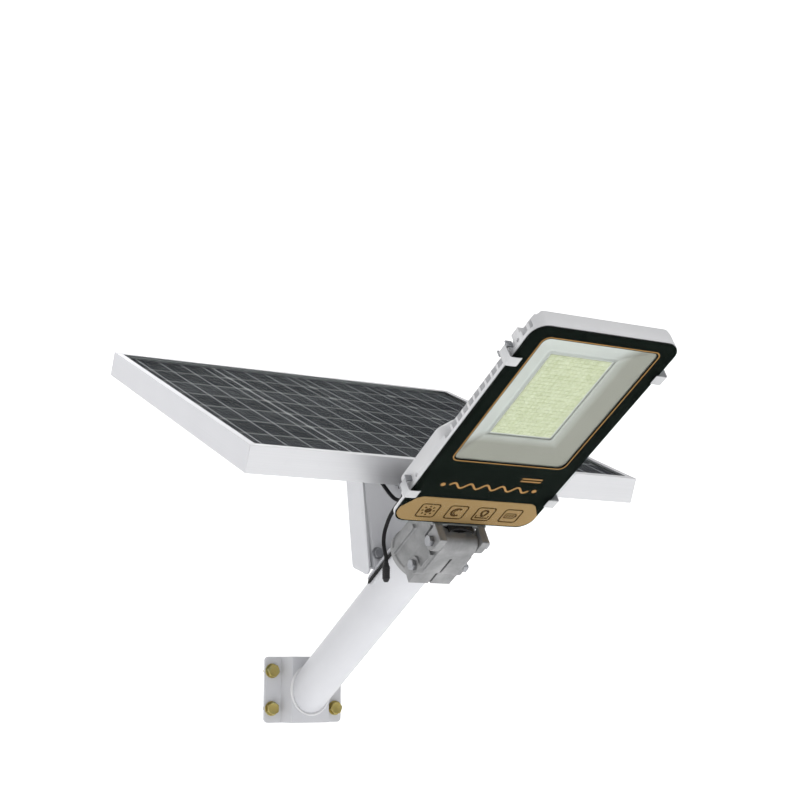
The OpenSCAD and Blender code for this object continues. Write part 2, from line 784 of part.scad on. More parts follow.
module gold_line() {
    low = glass_t - glass_drop;
    color([0.72, 0.5, 0.25]) along_arm() arm_plate(head_mid, low, low + print_t) difference() {
        window_shape(6);
        window_shape(3);
    }
}

module label_plate() {
    low = glass_t - glass_drop;
    foot = head_length / 2 - 3;
    color([0.62, 0.46, 0.22]) along_arm() arm_plate(head_mid, low, low + print_t)
        polygon([[-88, foot - 42], [-80, foot - 48], [80, foot - 48], [88, foot - 42], [97, foot - 14],
                 [92, foot - 3], [84, foot], [-84, foot], [-92, foot - 3], [-97, foot - 14]]);
}

module reflector() {
    rim_half_w = window_width / 2 + 5;
    rim_half_l = window_length / 2 + 5;
    low_half_w = led_width / 2 + 2;
    low_half_l = led_length / 2 + 2;
    sheet = 1.2;
    top = gasket_n + 0.3;
    color([0.75, 0.76, 0.77]) along_arm() translate([0, -window_mid, 0]) difference() {
        hull() {
            translate([0, 0, top]) linear_extrude(0.2)
                square([2 * rim_half_w, 2 * rim_half_l], center = true);
            translate([0, 0, led_n - 0.3]) linear_extrude(0.2)
                square([2 * low_half_w + 2 * sheet, 2 * low_half_l + 2 * sheet], center = true);
        }
        hull() {
            translate([0, 0, top - 0.4]) linear_extrude(0.2)
                square([2 * rim_half_w - 2 * sheet, 2 * rim_half_l - 2 * sheet], center = true);
            translate([0, 0, led_n]) linear_extrude(0.2)
                square([2 * low_half_w, 2 * low_half_l], center = true);
        }
    }
}

module led_board() {
    color([0.92, 0.92, 0.9]) along_arm() arm_plate(window_mid, led_n, led_n + 1.6)
        square([led_width + 24, led_length + 24], center = true);
}

module led_array() {
    color([0.82, 0.84, 0.55]) along_arm() arm_plate(window_mid, led_n - 1.6, led_n)
        square([led_width, led_length], center = true);
}

module battery_pack() {
    cell_r = 9.2;
    color([0.2, 0.45, 0.7]) along_arm() for (i = [0:5])
        rod((i - 2.5) * (2 * cell_r + 0.2), 4, tail_start + 22, tail_start + 87, cell_r);
}

module battery_strap() {
    color([0.15, 0.15, 0.15]) along_arm() difference() {
        block([-59, 59], [tail_start + 48, tail_start + 62], [-8, 14.6]);
        block([-57, 57], [tail_start + 47, tail_start + 63], [-9, 13.4]);
    }
}

module controller_board() {
    color([0.1, 0.35, 0.18]) along_arm() {
        block([62, 90], [tail_start + 20, tail_start + 88], [-8, -6.4]);
        block([66, 78], [tail_start + 28, tail_start + 40], [-6.4, -2]);
        block([80, 88], [tail_start + 46, tail_start + 60], [-6.4, 2]);
        block([66, 76], [tail_start + 60, tail_start + 74], [-6.4, -3]);
    }
}

module cable_glands() {
    color([0.08, 0.08, 0.08]) along_arm() for (p = gland_at) {
        rod(p[0], p[1], tail_start - 8, tail_start + 6, gland_thread_r);
        translate([p[0], -tail_start, p[1]]) rotate([-90, 0, 0]) {
            cylinder(r = gland_r, h = 6, $fn = 6);
            translate([0, 0, 6]) cylinder(r1 = gland_r - 1, r2 = 3.4, h = tail_start - gland_tip - 6);
        }
    }
}

module lamp_cable() {
    color([0.05, 0.05, 0.05]) swept_tube(lamp_route, cable_r, cable_sides);
}

module tail_lead() {
    color([0.05, 0.05, 0.05]) swept_tube(tail_route, cable_r, cable_sides);
}

module tail_connector() {
    last = tail_route[len(tail_route) - 1];
    color([0.05, 0.05, 0.05]) translate([last[0], last[1], last[2] - plug_length]) {
        translate([0, 0, 4]) cylinder(r = 5, h = plug_length - 9);
        cylinder(r1 = 3, r2 = 5, h = 4);
        translate([0, 0, plug_length - 5]) cylinder(r1 = 5, r2 = 3.2, h = 5);
    }
}

module latch_pins() {
    color([0.6, 0.6, 0.62]) along_arm() for (i = [0, 1], s = [latch_low, latch_high]) mirror([i, 0, 0]) {
        rod(pin_x, pin_n, s - clip_width / 2 - 3, s + clip_width / 2 + 3, pin_r);
        for (j = [-1, 1]) {
            cheek = s + j * (clip_width / 2 + 1.5);
            difference() {
                block([half_w, pin_x + 3], [cheek - 1, cheek + 1], [pin_n - 4, pin_n + 4]);
                rod(pin_x, pin_n, cheek - 3, cheek + 3, pin_r);
            }
        }
    }
}

// Latch clip on the right side, its hook over the edge of the glass
module clip(s) {
    low = -glass_drop - 0.4 - clip_t;
    edge = [s - clip_width / 2, s + clip_width / 2];
    difference() {
        union() {
            rod(pin_x, pin_n, edge[0], edge[1], 3);
            block([pin_x - 0.5, pin_x + 3], edge, [low, pin_n]);
            block([half_w - hook_reach, pin_x + 1], edge, [low, low + clip_t]);
        }
        rod(pin_x, pin_n, edge[0] - 1, edge[1] + 1, pin_r + bolt_play);
        block([pin_x - 3, pin_x + 1], [edge[0] - 1, edge[1] + 1], [low + clip_t, pin_n - 5]);
    }
}

module clip_upper_left() {
    color([0.85, 0.86, 0.87]) along_arm() mirror([1, 0, 0]) clip(latch_high);
}

module clip_upper_right() {
    color([0.85, 0.86, 0.87]) along_arm() clip(latch_high);
}

module clip_lower_left() {
    color([0.85, 0.86, 0.87]) along_arm() mirror([1, 0, 0]) clip(latch_low);
}

module clip_lower_right() {
    color([0.85, 0.86, 0.87]) along_arm() clip(latch_low);
}

wall_bracket();
wall_bolts();
wall_washers();
arm_tube();
weld_bead();
saddle_pad();
strut_saddle();
saddle_screws();
panel_strut();
strut_bolts();
tilt_bolt();
cable_coupler();
cable_clip();
knuckle_sleeve();
pinch_bolt();
pivot_bolt();
tube_plug();
frame_front();
frame_rear();
frame_left();
frame_right();
corner_keys();
panel_glass();
solar_cells();
backsheet();
junction_box();
junction_lid();
junction_gland();
support_rails();
rail_bolts();
tilt_cradle();
cradle_bolts();
panel_cable();
head_housing();
rear_cover();
cover_screws();
neck_casting();
neck_screws();
neck_seal();
glass_gasket();
front_glass();
glass_mask();
gold_line();
label_plate();
reflector();
led_board();
led_array();
battery_pack();
battery_strap();
controller_board();
cable_glands();
lamp_cable();
tail_lead();
tail_connector();
latch_pins();
clip_upper_left();
clip_upper_right();
clip_lower_left();
clip_lower_right();
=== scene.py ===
# solar street lamp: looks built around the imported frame
import bpy
import bmesh
import math
import numpy as np
from mathutils import Matrix, Vector


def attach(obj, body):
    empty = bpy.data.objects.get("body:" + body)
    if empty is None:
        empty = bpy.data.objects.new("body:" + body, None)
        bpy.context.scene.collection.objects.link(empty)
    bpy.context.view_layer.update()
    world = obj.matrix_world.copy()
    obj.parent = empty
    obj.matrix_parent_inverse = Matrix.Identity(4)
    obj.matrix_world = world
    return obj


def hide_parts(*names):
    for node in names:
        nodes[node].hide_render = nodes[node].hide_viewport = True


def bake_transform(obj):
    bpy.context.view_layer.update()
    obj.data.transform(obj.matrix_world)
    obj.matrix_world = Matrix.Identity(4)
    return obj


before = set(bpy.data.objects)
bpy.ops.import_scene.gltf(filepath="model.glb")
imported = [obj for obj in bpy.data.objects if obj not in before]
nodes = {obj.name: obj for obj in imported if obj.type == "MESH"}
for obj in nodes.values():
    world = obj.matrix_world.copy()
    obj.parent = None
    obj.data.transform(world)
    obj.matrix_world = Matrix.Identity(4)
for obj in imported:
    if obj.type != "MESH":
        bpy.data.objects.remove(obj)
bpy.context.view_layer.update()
mm = 0.001
print("frame loaded:", len(nodes), "nodes")


arm = {"slope": math.radians(30), "face": 28 * mm, "tubeRadius": 30 * mm, "tubeEnd": 440 * mm}
panel = {"slope": math.radians(23), "y": -189 * mm, "z": 386 * mm}


def onArm(x, s, n):
    # arm frame to lamp frame: x across, s along the arm, n above its axis
    x, s, n = np.broadcast_arrays(np.asarray(x, float), s, n)
    c, k = math.cos(arm["slope"]), math.sin(arm["slope"])
    return np.stack([x, -arm["face"] - c * s + k * n, k * s + c * n], -1)


def onPanel(x, u, w):
    # panel frame to lamp frame: x across, u up the slope, w out of the glass
    x, u, w = np.broadcast_arrays(np.asarray(x, float), u, w)
    c, k = math.cos(panel["slope"]), math.sin(panel["slope"])
    return np.stack([x, panel["y"] + c * u - k * w, panel["z"] + k * u + c * w], -1)


across, outward = np.array([1.0, 0, 0]), np.array([0, -1.0, 0])
alongArm, aboveArm = onArm(0, 1, 0) - onArm(0, 0, 0), onArm(0, 0, 1) - onArm(0, 0, 0)
upPanel, behindPanel = onPanel(0, 1, 0) - onPanel(0, 0, 0), onPanel(0, 0, 0) - onPanel(0, 0, 1)


def gridFaces(rows, cols, closeRows=False, closeCols=False):
    # quads between neighbouring points of a grid numbered row by row
    i = np.arange(rows if closeRows else rows - 1)
    j = np.arange(cols if closeCols else cols - 1)
    a, b = np.meshgrid(i, j, indexing="ij")
    a2, b2 = (a + 1) % rows, (b + 1) % cols
    return np.stack([a * cols + b, a2 * cols + b, a2 * cols + b2, a * cols + b2], -1).reshape(-1, 4)


def surface(points, closeRows=False, closeCols=False, capRows=False):
    # grid of points to (vertices, faces); capRows closes the first and last row on their middles
    rows, cols = points.shape[:2]
    verts = points.reshape(-1, 3)
    faces = [gridFaces(rows, cols, closeRows, closeCols)]
    if capRows:
        middles = np.stack([points[0].mean(0), points[-1].mean(0)])
        n = len(verts)
        j = np.arange(cols if closeCols else cols - 1)
        k = (j + 1) % cols
        last = (rows - 1) * cols
        faces.append(np.stack([np.full_like(j, n), j, k], -1))
        faces.append(np.stack([np.full_like(j, n + 1), last + k, last + j], -1))
        verts = np.concatenate([verts, middles])
    return verts, faces


def joined(*parts):
    # several (vertices, faces) as one
    verts, faces, start = [], [], 0
    for v, fs in parts:
        verts.append(v)
        faces += [f + start for f in fs]
        start += len(v)
    return np.concatenate(verts), faces


def linked(name, data):
    # new object at the origin, in the scene
    made = bpy.data.objects.new(name, data)
    bpy.context.scene.collection.objects.link(made)
    return made


def meshOf(name, part):
    mesh = bpy.data.meshes.new(name)
    mesh.from_pydata(part[0].tolist(), [], [f for block in part[1] for f in block.tolist()])
    return mesh


def makePiece(name, part, body, replaced, look, smooth=35, thick=0):
    # puts (vertices, faces) into an object that rides on a body; thick gives an open sheet its gauge
    mesh = meshOf(name, part)
    mesh.validate()
    bm = bmesh.new()
    bm.from_mesh(mesh)
    bmesh.ops.remove_doubles(bm, verts=bm.verts, dist=1e-7)
    bmesh.ops.recalc_face_normals(bm, faces=bm.faces)
    bm.to_mesh(mesh)
    bm.free()
    piece = linked(name, mesh)
    if thick:
        solid = piece.modifiers.new("thickness", "SOLIDIFY")
        solid.thickness = thick
        solid.offset = 1
        solid.use_even_offset = True
    return dress(piece, body, replaced, look, smooth)


def dress(piece, body, replaced, look, smooth, bevel=0, segments=2):
    # edge rounding, smooth shading, finish, body and the CAD node it stands for
    mesh = piece.data
    if bevel:
        mod = piece.modifiers.new("edges", "BEVEL")
        mod.width = bevel
        mod.segments = segments
        mod.limit_method = "ANGLE"
        mod.angle_limit = math.radians(smooth)
        mod.use_clamp_overlap = True
        mod.harden_normals = False
    mesh.polygons.foreach_set("use_smooth", np.ones(len(mesh.polygons), bool))
    mesh.set_sharp_from_angle(angle=math.radians(60 if bevel else smooth))
    mesh.materials.clear()
    mesh.materials.append(finishes[look])
    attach(piece, body)
    if replaced:
        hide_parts(replaced)
    return piece


def mergedCopy(node, turn=None, flatten=0.0):
    # copy of a CAD node's mesh with its loose triangles joined; flatten dissolves flat edges, in degrees
    mesh = nodes[node].data.copy()
    if turn:
        mesh.transform(turn)
    bm = bmesh.new()
    bm.from_mesh(mesh)
    bmesh.ops.remove_doubles(bm, verts=bm.verts, dist=2e-6)
    if flatten:
        bmesh.ops.dissolve_limit(bm, angle_limit=math.radians(flatten), verts=bm.verts, edges=bm.edges)
    bm.to_mesh(mesh)
    bm.free()
    return mesh


def softened(node, body, look, bevel, segments=2, smooth=30):
    # a CAD node with its flat faces whole again and its edges rounded by a bevel in millimetres
    piece = linked(node + "_skin", mergedCopy(node, flatten=0.6))
    return dress(piece, body, node, look, smooth, bevel * mm, segments)


def refinished(looks):
    # CAD nodes that keep their own mesh and only take a finish
    for node, look in looks.items():
        nodes[node].data.materials.clear()
        nodes[node].data.materials.append(finishes[look])


def fullTurn(count):
    return np.arange(count) * 2 * np.pi / count


def ringAbout(axis, angles):
    # the unit axis, and cos(angle) e1 + sin(angle) e2 for each angle, with e1 and e2 square to the axis
    axis = np.asarray(axis, float) / np.linalg.norm(axis)
    ref = np.array([0, 0, 1.0]) if abs(axis[2]) < 0.9 else np.array([0, 1.0, 0])
    e1 = np.cross(axis, ref)
    e1 /= np.linalg.norm(e1)
    e2 = np.cross(axis, e1)
    return axis, np.cos(angles)[..., None] * e1 + np.sin(angles)[..., None] * e2


def turned(profile, centre, axis, sides=32, closed=False):
    # surface of revolution: (radius, height) pairs carried round an axis; a closed outline makes a ring
    profile = np.asarray(profile, float)
    axis, ring = ringAbout(axis, fullTurn(sides))
    points = centre + profile[:, 0, None, None] * ring[None] + profile[:, 1, None, None] * axis
    return surface(points, closeRows=closed, closeCols=True, capRows=not closed)


def hexHead(centre, axis, flats, height, phase=0.0):
    # six-sided head: radius flats/2/cos(angle from the middle of a flat), top rim cut by a 30 degree cone
    t = fullTurn(48)
    axis, ring = ringAbout(axis, t + phase)
    fromFlat = (t + np.pi / 6) % (np.pi / 3) - np.pi / 6
    radius = flats / 2 / np.cos(fromFlat)
    crown = flats / 2 * 0.95
    rim = height - (radius - crown) * math.tan(math.radians(30))
    level = np.ones(48)
    radii = np.stack([radius * 0.985, radius, radius, level * crown, level * crown * 0.6])
    heights = np.stack([level * 0, level * 0.015 * flats, rim, level * height,
                        level * (height - 0.02 * flats)])
    points = centre + radii[..., None] * ring[None] + heights[..., None] * axis
    return surface(points, closeCols=True, capRows=True)


def threaded(centre, axis, radius, length, pitch, sides=20):
    # screw thread: radius less a depth times the triangle wave of (height / pitch - angle / turn)
    t = fullTurn(sides)[None]
    axis, ring = ringAbout(axis, t)
    h = np.linspace(0, length, int(length / pitch * 4) + 1)[:, None]
    phase = (h / pitch - t / (2 * np.pi)) % 1
    depth = 0.5 * pitch * np.abs(2 * phase - 1)
    lead = 0.12 * radius * (1 - np.clip((length - h) / pitch, 0, 1))  # thinner over the last pitch
    points = centre + (radius - depth - lead)[..., None] * ring + h[..., None] * axis
    return surface(points, closeCols=True, capRows=True)


def washer(centre, axis, inner, outer, thickness):
    # flat ring with slightly rounded rims
    e = thickness * 0.2
    outline = [(inner, 0), (outer - e, 0), (outer, e), (outer, thickness - e), (outer - e, thickness),
               (inner, thickness)]
    return turned(outline, centre, axis, 40, closed=True)


def ribbedLathe(segments):
    # (radius, height) profile from (height, radius, height, radius, ribs, depth) stretches in millimetres
    rows = []
    for h0, r0, h1, r1, ribs, depth in segments:
        t = np.linspace(0, 1, max(2, ribs * 6 + 1))
        r = r0 + (r1 - r0) * t - depth * (0.5 - 0.5 * np.cos(2 * np.pi * ribs * t)) * (ribs > 0)
        rows.append(np.stack([r, h0 + (h1 - h0) * t], -1))
    return np.concatenate(rows) * mm


def smoothPath(points, each=6):
    # Catmull-Rom curve through the points, as one array
    p = np.asarray(points, float)
    p = np.concatenate([2 * p[:1] - p[1:2], p, 2 * p[-1:] - p[-2:-1]])
    t = np.linspace(0, 1, each, endpoint=False)[None, :, None]
    a, b, c, d = (p[i:len(p) - 3 + i, None, :] for i in range(4))
    square, cube = 2 * a - 5 * b + 4 * c - d, 3 * b - a - 3 * c + d
    curve = 0.5 * (2 * b + (c - a) * t + square * t ** 2 + cube * t ** 3)
    return np.concatenate([curve.reshape(-1, 3), p[-2:-1]])


def tube(path, radius, sides=16):
    # round section carried along a path; its side vector is heading x up, so it never spins
    heading = np.gradient(path, axis=0)
    heading /= np.linalg.norm(heading, axis=1)[:, None]
    side = np.cross(heading, [0.15, 0.1, 1.0])
    side /= np.linalg.norm(side, axis=1)[:, None]
    up = np.cross(side, heading)
    t = fullTurn(sides)
    radius = np.broadcast_to(np.asarray(radius, float), len(path))
    ring = np.cos(t)[None, :, None] * side[:, None] + np.sin(t)[None, :, None] * up[:, None]
    return surface(path[:, None] + radius[:, None, None] * ring, closeCols=True, capRows=True)


def roundRect(width, length, radius, perCorner=12):
    # closed outline of a rectangle with round corners, counter-clockwise
    t = np.linspace(0, np.pi / 2, perCorner)
    corners = [(width / 2 - radius, length / 2 - radius, 0), (radius - width / 2, length / 2 - radius, 1),
               (radius - width / 2, radius - length / 2, 2), (width / 2 - radius, radius - length / 2, 3)]
    parts = [np.stack([cx + radius * np.cos(t + k * np.pi / 2), cy + radius * np.sin(t + k * np.pi / 2)], -1)
             for cx, cy, k in corners]
    return np.concatenate(parts)


def plate(outline, low, high, place, edge=0.0):
    # outline carried up from low to high with its rims drawn in by the edge size
    middle = outline.mean(0)
    inset = middle + (outline - middle) * (1 - edge / np.abs(outline - middle).max())
    layers = [(inset, low), (outline, low + edge), (outline, high - edge), (inset, high)] if edge else \
        [(outline, low), (outline, high)]
    points = np.stack([place(o[:, 0], o[:, 1], h) for o, h in layers])
    return surface(points, closeCols=True, capRows=True)


def framePlate(outer, inner, low, high, place):
    # flat ring between two outlines with the same number of points
    layers = [(outer, low), (outer, high), (inner, high), (inner, low)]
    points = np.stack([place(o[:, 0], o[:, 1], h) for o, h in layers])
    return surface(points, closeRows=True, closeCols=True)


def boxes(centres, size, place):
    # many equal boxes as one array
    corner = np.array([[i, j, k] for i in (-1, 1) for j in (-1, 1) for k in (-1, 1)]) * 0.5
    pts = np.asarray(centres, float)[:, None] + corner[None] * np.asarray(size, float)
    quads = np.array([[0, 1, 3, 2], [4, 6, 7, 5], [0, 4, 5, 1], [2, 3, 7, 6], [0, 2, 6, 4], [1, 5, 7, 3]])
    faces = (quads[None] + 8 * np.arange(len(pts))[:, None, None]).reshape(-1, 4)
    flat = pts.reshape(-1, 3)
    return place(flat[:, 0], flat[:, 1], flat[:, 2]), [faces]


class Wire:
    # one node output; the operators add Math nodes
    def __init__(self, shader, socket):
        self.shader, self.socket = shader, socket

    def maths(self, operation, *values):
        return self.shader.node("ShaderNodeMath", {"operation": operation}, values)

    def __add__(self, other):
        return self.maths("ADD", self, other)

    def __radd__(self, other):
        return self.maths("ADD", other, self)

    def __sub__(self, other):
        return self.maths("SUBTRACT", self, other)

    def __rsub__(self, other):
        return self.maths("SUBTRACT", other, self)

    def __mul__(self, other):
        return self.maths("MULTIPLY", self, other)

    def __rmul__(self, other):
        return self.maths("MULTIPLY", other, self)

    def __truediv__(self, other):
        return self.maths("DIVIDE", self, other)

    def __pow__(self, other):
        return self.maths("POWER", self, other)


class Shader:
    # one material; node() adds a node of any kind and gives back one of its outputs
    def __init__(self, name):
        self.material = bpy.data.materials.new(name)
        self.material.use_nodes = True
        self.tree = self.material.node_tree
        self.tree.nodes.clear()

    def node(self, kind, settings=None, values=None, out=0):
        made = self.tree.nodes.new(kind)
        for key, value in (settings or {}).items():
            if key == "stops":
                ramp = made.color_ramp
                while len(ramp.elements) < len(value):
                    ramp.elements.new(1.0)
                for element, (at, colour) in zip(ramp.elements, value):
                    element.position = at
                    element.color = (*np.broadcast_to(colour, 3), 1)
            else:
                setattr(made, key, value)
        pairs = values.items() if isinstance(values, dict) else enumerate(values or ())
        for key, value in pairs:
            socket = made.inputs[key]
            if isinstance(value, Wire):
                self.tree.links.new(value.socket, socket)
            elif socket.type == "RGBA" and len(value) == 3:
                socket.default_value = (*value, 1)
            else:
                socket.default_value = value
        return Wire(self, made.outputs[out]) if len(made.outputs) else None

    def place(self, scale=(1, 1, 1), turn=0.0):
        # object coordinates turned about X so that they follow the arm or the panel
        here = self.node("ShaderNodeTexCoord", out="Object")
        level = self.node("ShaderNodeMapping", {"vector_type": "POINT"},
                          {"Vector": here, "Rotation": (turn, 0, 0)})
        return self.node("ShaderNodeMapping", {"vector_type": "POINT"}, {"Vector": level, "Scale": scale})

    def axis(self, where, letter):
        return self.node("ShaderNodeSeparateXYZ", values={"Vector": where}, out=letter)

    def noise(self, where, scale, detail=3.0, rough=0.5):
        return self.node("ShaderNodeTexNoise", {"noise_dimensions": "3D"},
                         {"Vector": where, "Scale": scale, "Detail": detail, "Roughness": rough})

    def ramp(self, value, stops):
        return self.node("ShaderNodeValToRGB", {"stops": stops}, {"Fac": value})

    def mix(self, factor, first, second):
        return self.node("ShaderNodeMix", {"data_type": "RGBA"}, {0: factor, 6: first, 7: second}, 2)

    def bump(self, height, strength, distance):
        return self.node("ShaderNodeBump", None,
                         {"Height": height, "Strength": strength, "Distance": distance})

    def done(self, values, glass=None):
        # closes the material; glass is (share, tint): that share is reflected, the rest goes through tinted
        shader = self.node("ShaderNodeBsdfPrincipled", None, values)
        if glass:
            clear = self.node("ShaderNodeBsdfTransparent", None, {"Color": glass[1]})
            shader = self.node("ShaderNodeMixShader", None, {0: glass[0], 1: clear, 2: shader})
        self.node("ShaderNodeOutputMaterial", None, {"Surface": shader}, None)
        return self.material


def powderCoat(name, colour, shade, peel=0.12, turn=0.0):
    # satin paint: fine orange peel, a little uneven gloss and faint dust in broad patches
    s = Shader(name)
    here = s.place(turn=turn)
    dust = s.noise(here, 9, 4, 0.6)
    grain = s.noise(here, 950, 2)
    speck = s.noise(here, 2600, 1)
    tone = s.mix(s.ramp(dust, [(0.35, 0), (0.75, 1)]), colour, shade)
    return s.done({"Base Color": s.mix(speck * 0.08, tone, shade), "Roughness": 0.34 + dust * 0.18,
                   "Specular IOR Level": 0.45, "Normal": s.bump(grain + speck * 0.3, peel, 0.0006)})


def anodised(name, colour, direction, turn=0.0):
    # extruded and anodised: long fine die lines along the rail and soft cloudy tone
    s = Shader(name)
    stretch = {"x": (3, 1400, 1400), "y": (1400, 3, 1400)}[direction]
    lines = s.noise(s.place(stretch, turn), 1, 2)
    cloud = s.noise(s.place(turn=turn), 14, 4)
    handled = s.noise(s.place(turn=turn), 55, 5, 0.65)
    dull = [c * 0.86 for c in colour]
    tone = s.mix(s.ramp(lines, [(0.3, 0), (0.7, 1)]) * 0.25, colour, dull)
    tone = s.mix(s.ramp(handled, [(0.62, 0), (0.8, 1)]) * 0.3, tone, dull)
    return s.done({"Base Color": tone, "Metallic": 0.82, "Roughness": 0.36 + cloud * 0.12 + lines * 0.06,
                   "Normal": s.bump(lines, 0.07, 0.0002)})


def castAlloy():
    # die casting as it comes from the mould: fine pits, flow marks, slightly brighter worn spots
    s = Shader("castAlloy")
    here = s.place(turn=arm["slope"])
    flow = s.noise(here, 26, 5, 0.6)
    pits = s.noise(here, 1500, 3)
    tone = s.ramp(flow, [(0.3, (0.20, 0.203, 0.205)), (0.52, (0.29, 0.292, 0.295)),
                         (0.75, (0.40, 0.40, 0.405))])
    return s.done({"Base Color": tone, "Metallic": 0.72, "Roughness": 0.44 + flow * 0.14 + pits * 0.06,
                   "Normal": s.bump(pits + flow * 0.4, 0.2, 0.0004)})


def zincPlate(name, stops, wear):
    # plated fastener: tint drifts with the film's thickness, fine turning marks, rubbed edges
    s = Shader(name)
    here = s.place()
    drift = s.noise(here, 70, 4, 0.55)
    fine = s.noise(here, 1800, 2)
    return s.done({"Base Color": s.ramp(drift, stops), "Metallic": 0.95,
                   "Roughness": wear + drift * 0.16 + fine * 0.08, "Normal": s.bump(fine, 0.1, 0.0002)})


def polishedSteel():
    # bent spring steel with fine lengthways scratches
    s = Shader("polishedSteel")
    scratch = s.noise(s.place((2600, 60, 60), arm["slope"]), 1, 3)
    smear = s.noise(s.place(turn=arm["slope"]), 60, 4)
    tone = s.mix(smear * 0.6, (0.55, 0.555, 0.56), (0.36, 0.365, 0.38))
    return s.done({"Base Color": tone, "Metallic": 1.0, "Roughness": 0.2 + smear * 0.14 + scratch * 0.08,
                   "Normal": s.bump(scratch, 0.08, 0.0002)})


def galvanised():
    # hot-dip zinc: crystal spangle from Voronoi cells, dull where they meet
    s = Shader("galvanised")
    here = s.place(turn=-panel["slope"])
    cells = s.node("ShaderNodeTexVoronoi", {"feature": "F1"}, {"Vector": here, "Scale": 130.0}, "Color")
    grey = s.node("ShaderNodeRGBToBW", None, {"Color": cells})
    cloud = s.noise(here, 40, 4)
    tone = s.ramp(grey * 0.7 + cloud * 0.3, [(0.25, (0.52, 0.535, 0.55)), (0.75, (0.70, 0.71, 0.72))])
    return s.done({"Base Color": tone, "Metallic": 0.85, "Roughness": 0.34 + grey * 0.2,
                   "Normal": s.bump(grey + cloud, 0.05, 0.0003)})


def moulded(name, colour, rough, turn=0.0, scale=1400, strength=0.14):
    # moulded plastic or rubber: spark-eroded grain and faint sheen where it's been touched
    s = Shader(name)
    here = s.place(turn=turn)
    grain = s.noise(here, scale, 2)
    touch = s.noise(here, 30, 4)
    lighter = [min(1, c * 1.1 + 0.012) for c in colour]
    return s.done({"Base Color": s.mix(s.ramp(touch, [(0.4, 0), (0.8, 1)]) * 0.6, colour, lighter),
                   "Roughness": rough + touch * 0.16, "Specular IOR Level": 0.25,
                   "Normal": s.bump(grain, strength, 0.0004)})


def sheath():
    # cable jacket: faint rings from the extruder run along its own UV
    s = Shader("cableSheath")
    along = s.node("ShaderNodeUVMap", {"uv_map": "route"})
    rings = s.node("ShaderNodeTexWave", {"wave_type": "BANDS", "bands_direction": "X"},
                   {"Vector": along, "Scale": 260.0, "Distortion": 1.5, "Detail": 2.0})
    here = s.place()
    dust = s.noise(here, 90, 4, 0.6)
    tone = s.mix(s.ramp(dust, [(0.45, 0), (0.8, 1)]), (0.006, 0.006, 0.007), (0.020, 0.020, 0.020))
    return s.done({"Base Color": tone, "Roughness": 0.42 + dust * 0.2, "Specular IOR Level": 0.12,
                   "Normal": s.bump(rings, 0.05, 0.0002)})


def solarGlass():
    # low-iron cover glass with its faint prismatic stipple, seen only in the gloss
    s = Shader("solarGlass")
    here = s.place(turn=-panel["slope"])
    stipple = s.node("ShaderNodeTexVoronoi", {"feature": "SMOOTH_F1"}, {"Vector": here, "Scale": 700.0})
    haze = s.noise(here, 18, 4)
    facing = s.node("ShaderNodeLayerWeight", None, {"Blend": 0.5}, "Facing")
    share = facing ** 5 * 0.010 + haze * 0.002
    return s.done({"Base Color": (0.9, 0.92, 0.93), "Roughness": 0.12 + haze * 0.08, "Metallic": 1.0,
                   "Normal": s.bump(stipple, 0.12, 0.0002)}, (share, (0.97, 0.985, 0.98)))


def frontGlass():
    # tempered glass of the lamp: clear, green in its edge, with a trace of dust
    s = Shader("frontGlass")
    here = s.place(turn=arm["slope"])
    dust = s.noise(here, 25, 5, 0.6)
    waves = s.noise(here, 12, 2)
    facing = s.node("ShaderNodeLayerWeight", None, {"Blend": 0.5}, "Facing")
    share = facing ** 5 * 0.05 + dust * 0.001
    return s.done({"Base Color": (0.86, 0.9, 0.88), "Roughness": 0.03 + dust * 0.05, "Metallic": 1.0,
                   "Normal": s.bump(waves, 0.02, 0.001)}, (share, (0.965, 0.98, 0.97)))


def siliconCells():
    # silicon under glass: each cell its own shade, crystal mottling, fine silver fingers across
    s = Shader("siliconCells")
    here = s.place(turn=-panel["slope"])
    cell = s.node("ShaderNodeAttribute", {"attribute_name": "cellShade"}, out="Fac")
    mottle = s.node("ShaderNodeTexVoronoi", {"feature": "F1"}, {"Vector": here, "Scale": 85.0}, "Color")
    crystal = s.node("ShaderNodeRGBToBW", None, {"Color": mottle})
    cloud = s.noise(here, 45, 4, 0.6)
    finger = s.node("ShaderNodeTexWave", {"wave_type": "BANDS", "bands_direction": "X"},
                    {"Vector": here, "Scale": 160.0})
    shade = cell * 0.4 + crystal * 0.35 + cloud * 0.35
    dark = s.ramp(shade, [(0.25, (0.030, 0.030, 0.036)), (0.8, (0.070, 0.071, 0.079))])
    lined = s.ramp(finger, [(0.86, 0), (0.97, 1)]) * 0.22
    return s.done({"Base Color": s.mix(lined, dark, (0.34, 0.35, 0.37)), "Roughness": 0.42 + crystal * 0.12,
                   "Specular IOR Level": 0.0, "Normal": s.bump(crystal, 0.03, 0.0002)})


def ribbon():
    # tinned ribbon: soft pits and dull solder patches
    s = Shader("tinnedRibbon")
    here = s.place(turn=-panel["slope"])
    patch = s.noise(here, 220, 4)
    tone = s.ramp(patch, [(0.3, (0.36, 0.37, 0.39)), (0.7, (0.60, 0.61, 0.63))])
    return s.done({"Base Color": tone, "Metallic": 0.8, "Roughness": 0.4 + patch * 0.2,
                   "Normal": s.bump(patch, 0.1, 0.0003)})


def printed(name, colour, other, rough=0.3, metal=0.0):
    # screen print behind the glass: tiny mesh dots and a slight drift in the ink
    s = Shader(name)
    here = s.place(turn=arm["slope"])
    drift = s.noise(here, 35, 3)
    mesh = s.noise(here, 2400, 1)
    return s.done({"Base Color": s.mix(drift * 0.7 + mesh * 0.2, colour, other), "Metallic": metal,
                   "Roughness": rough + drift * 0.12, "Specular IOR Level": 0.0,
                   "Normal": s.bump(mesh, 0.04, 0.0002)})


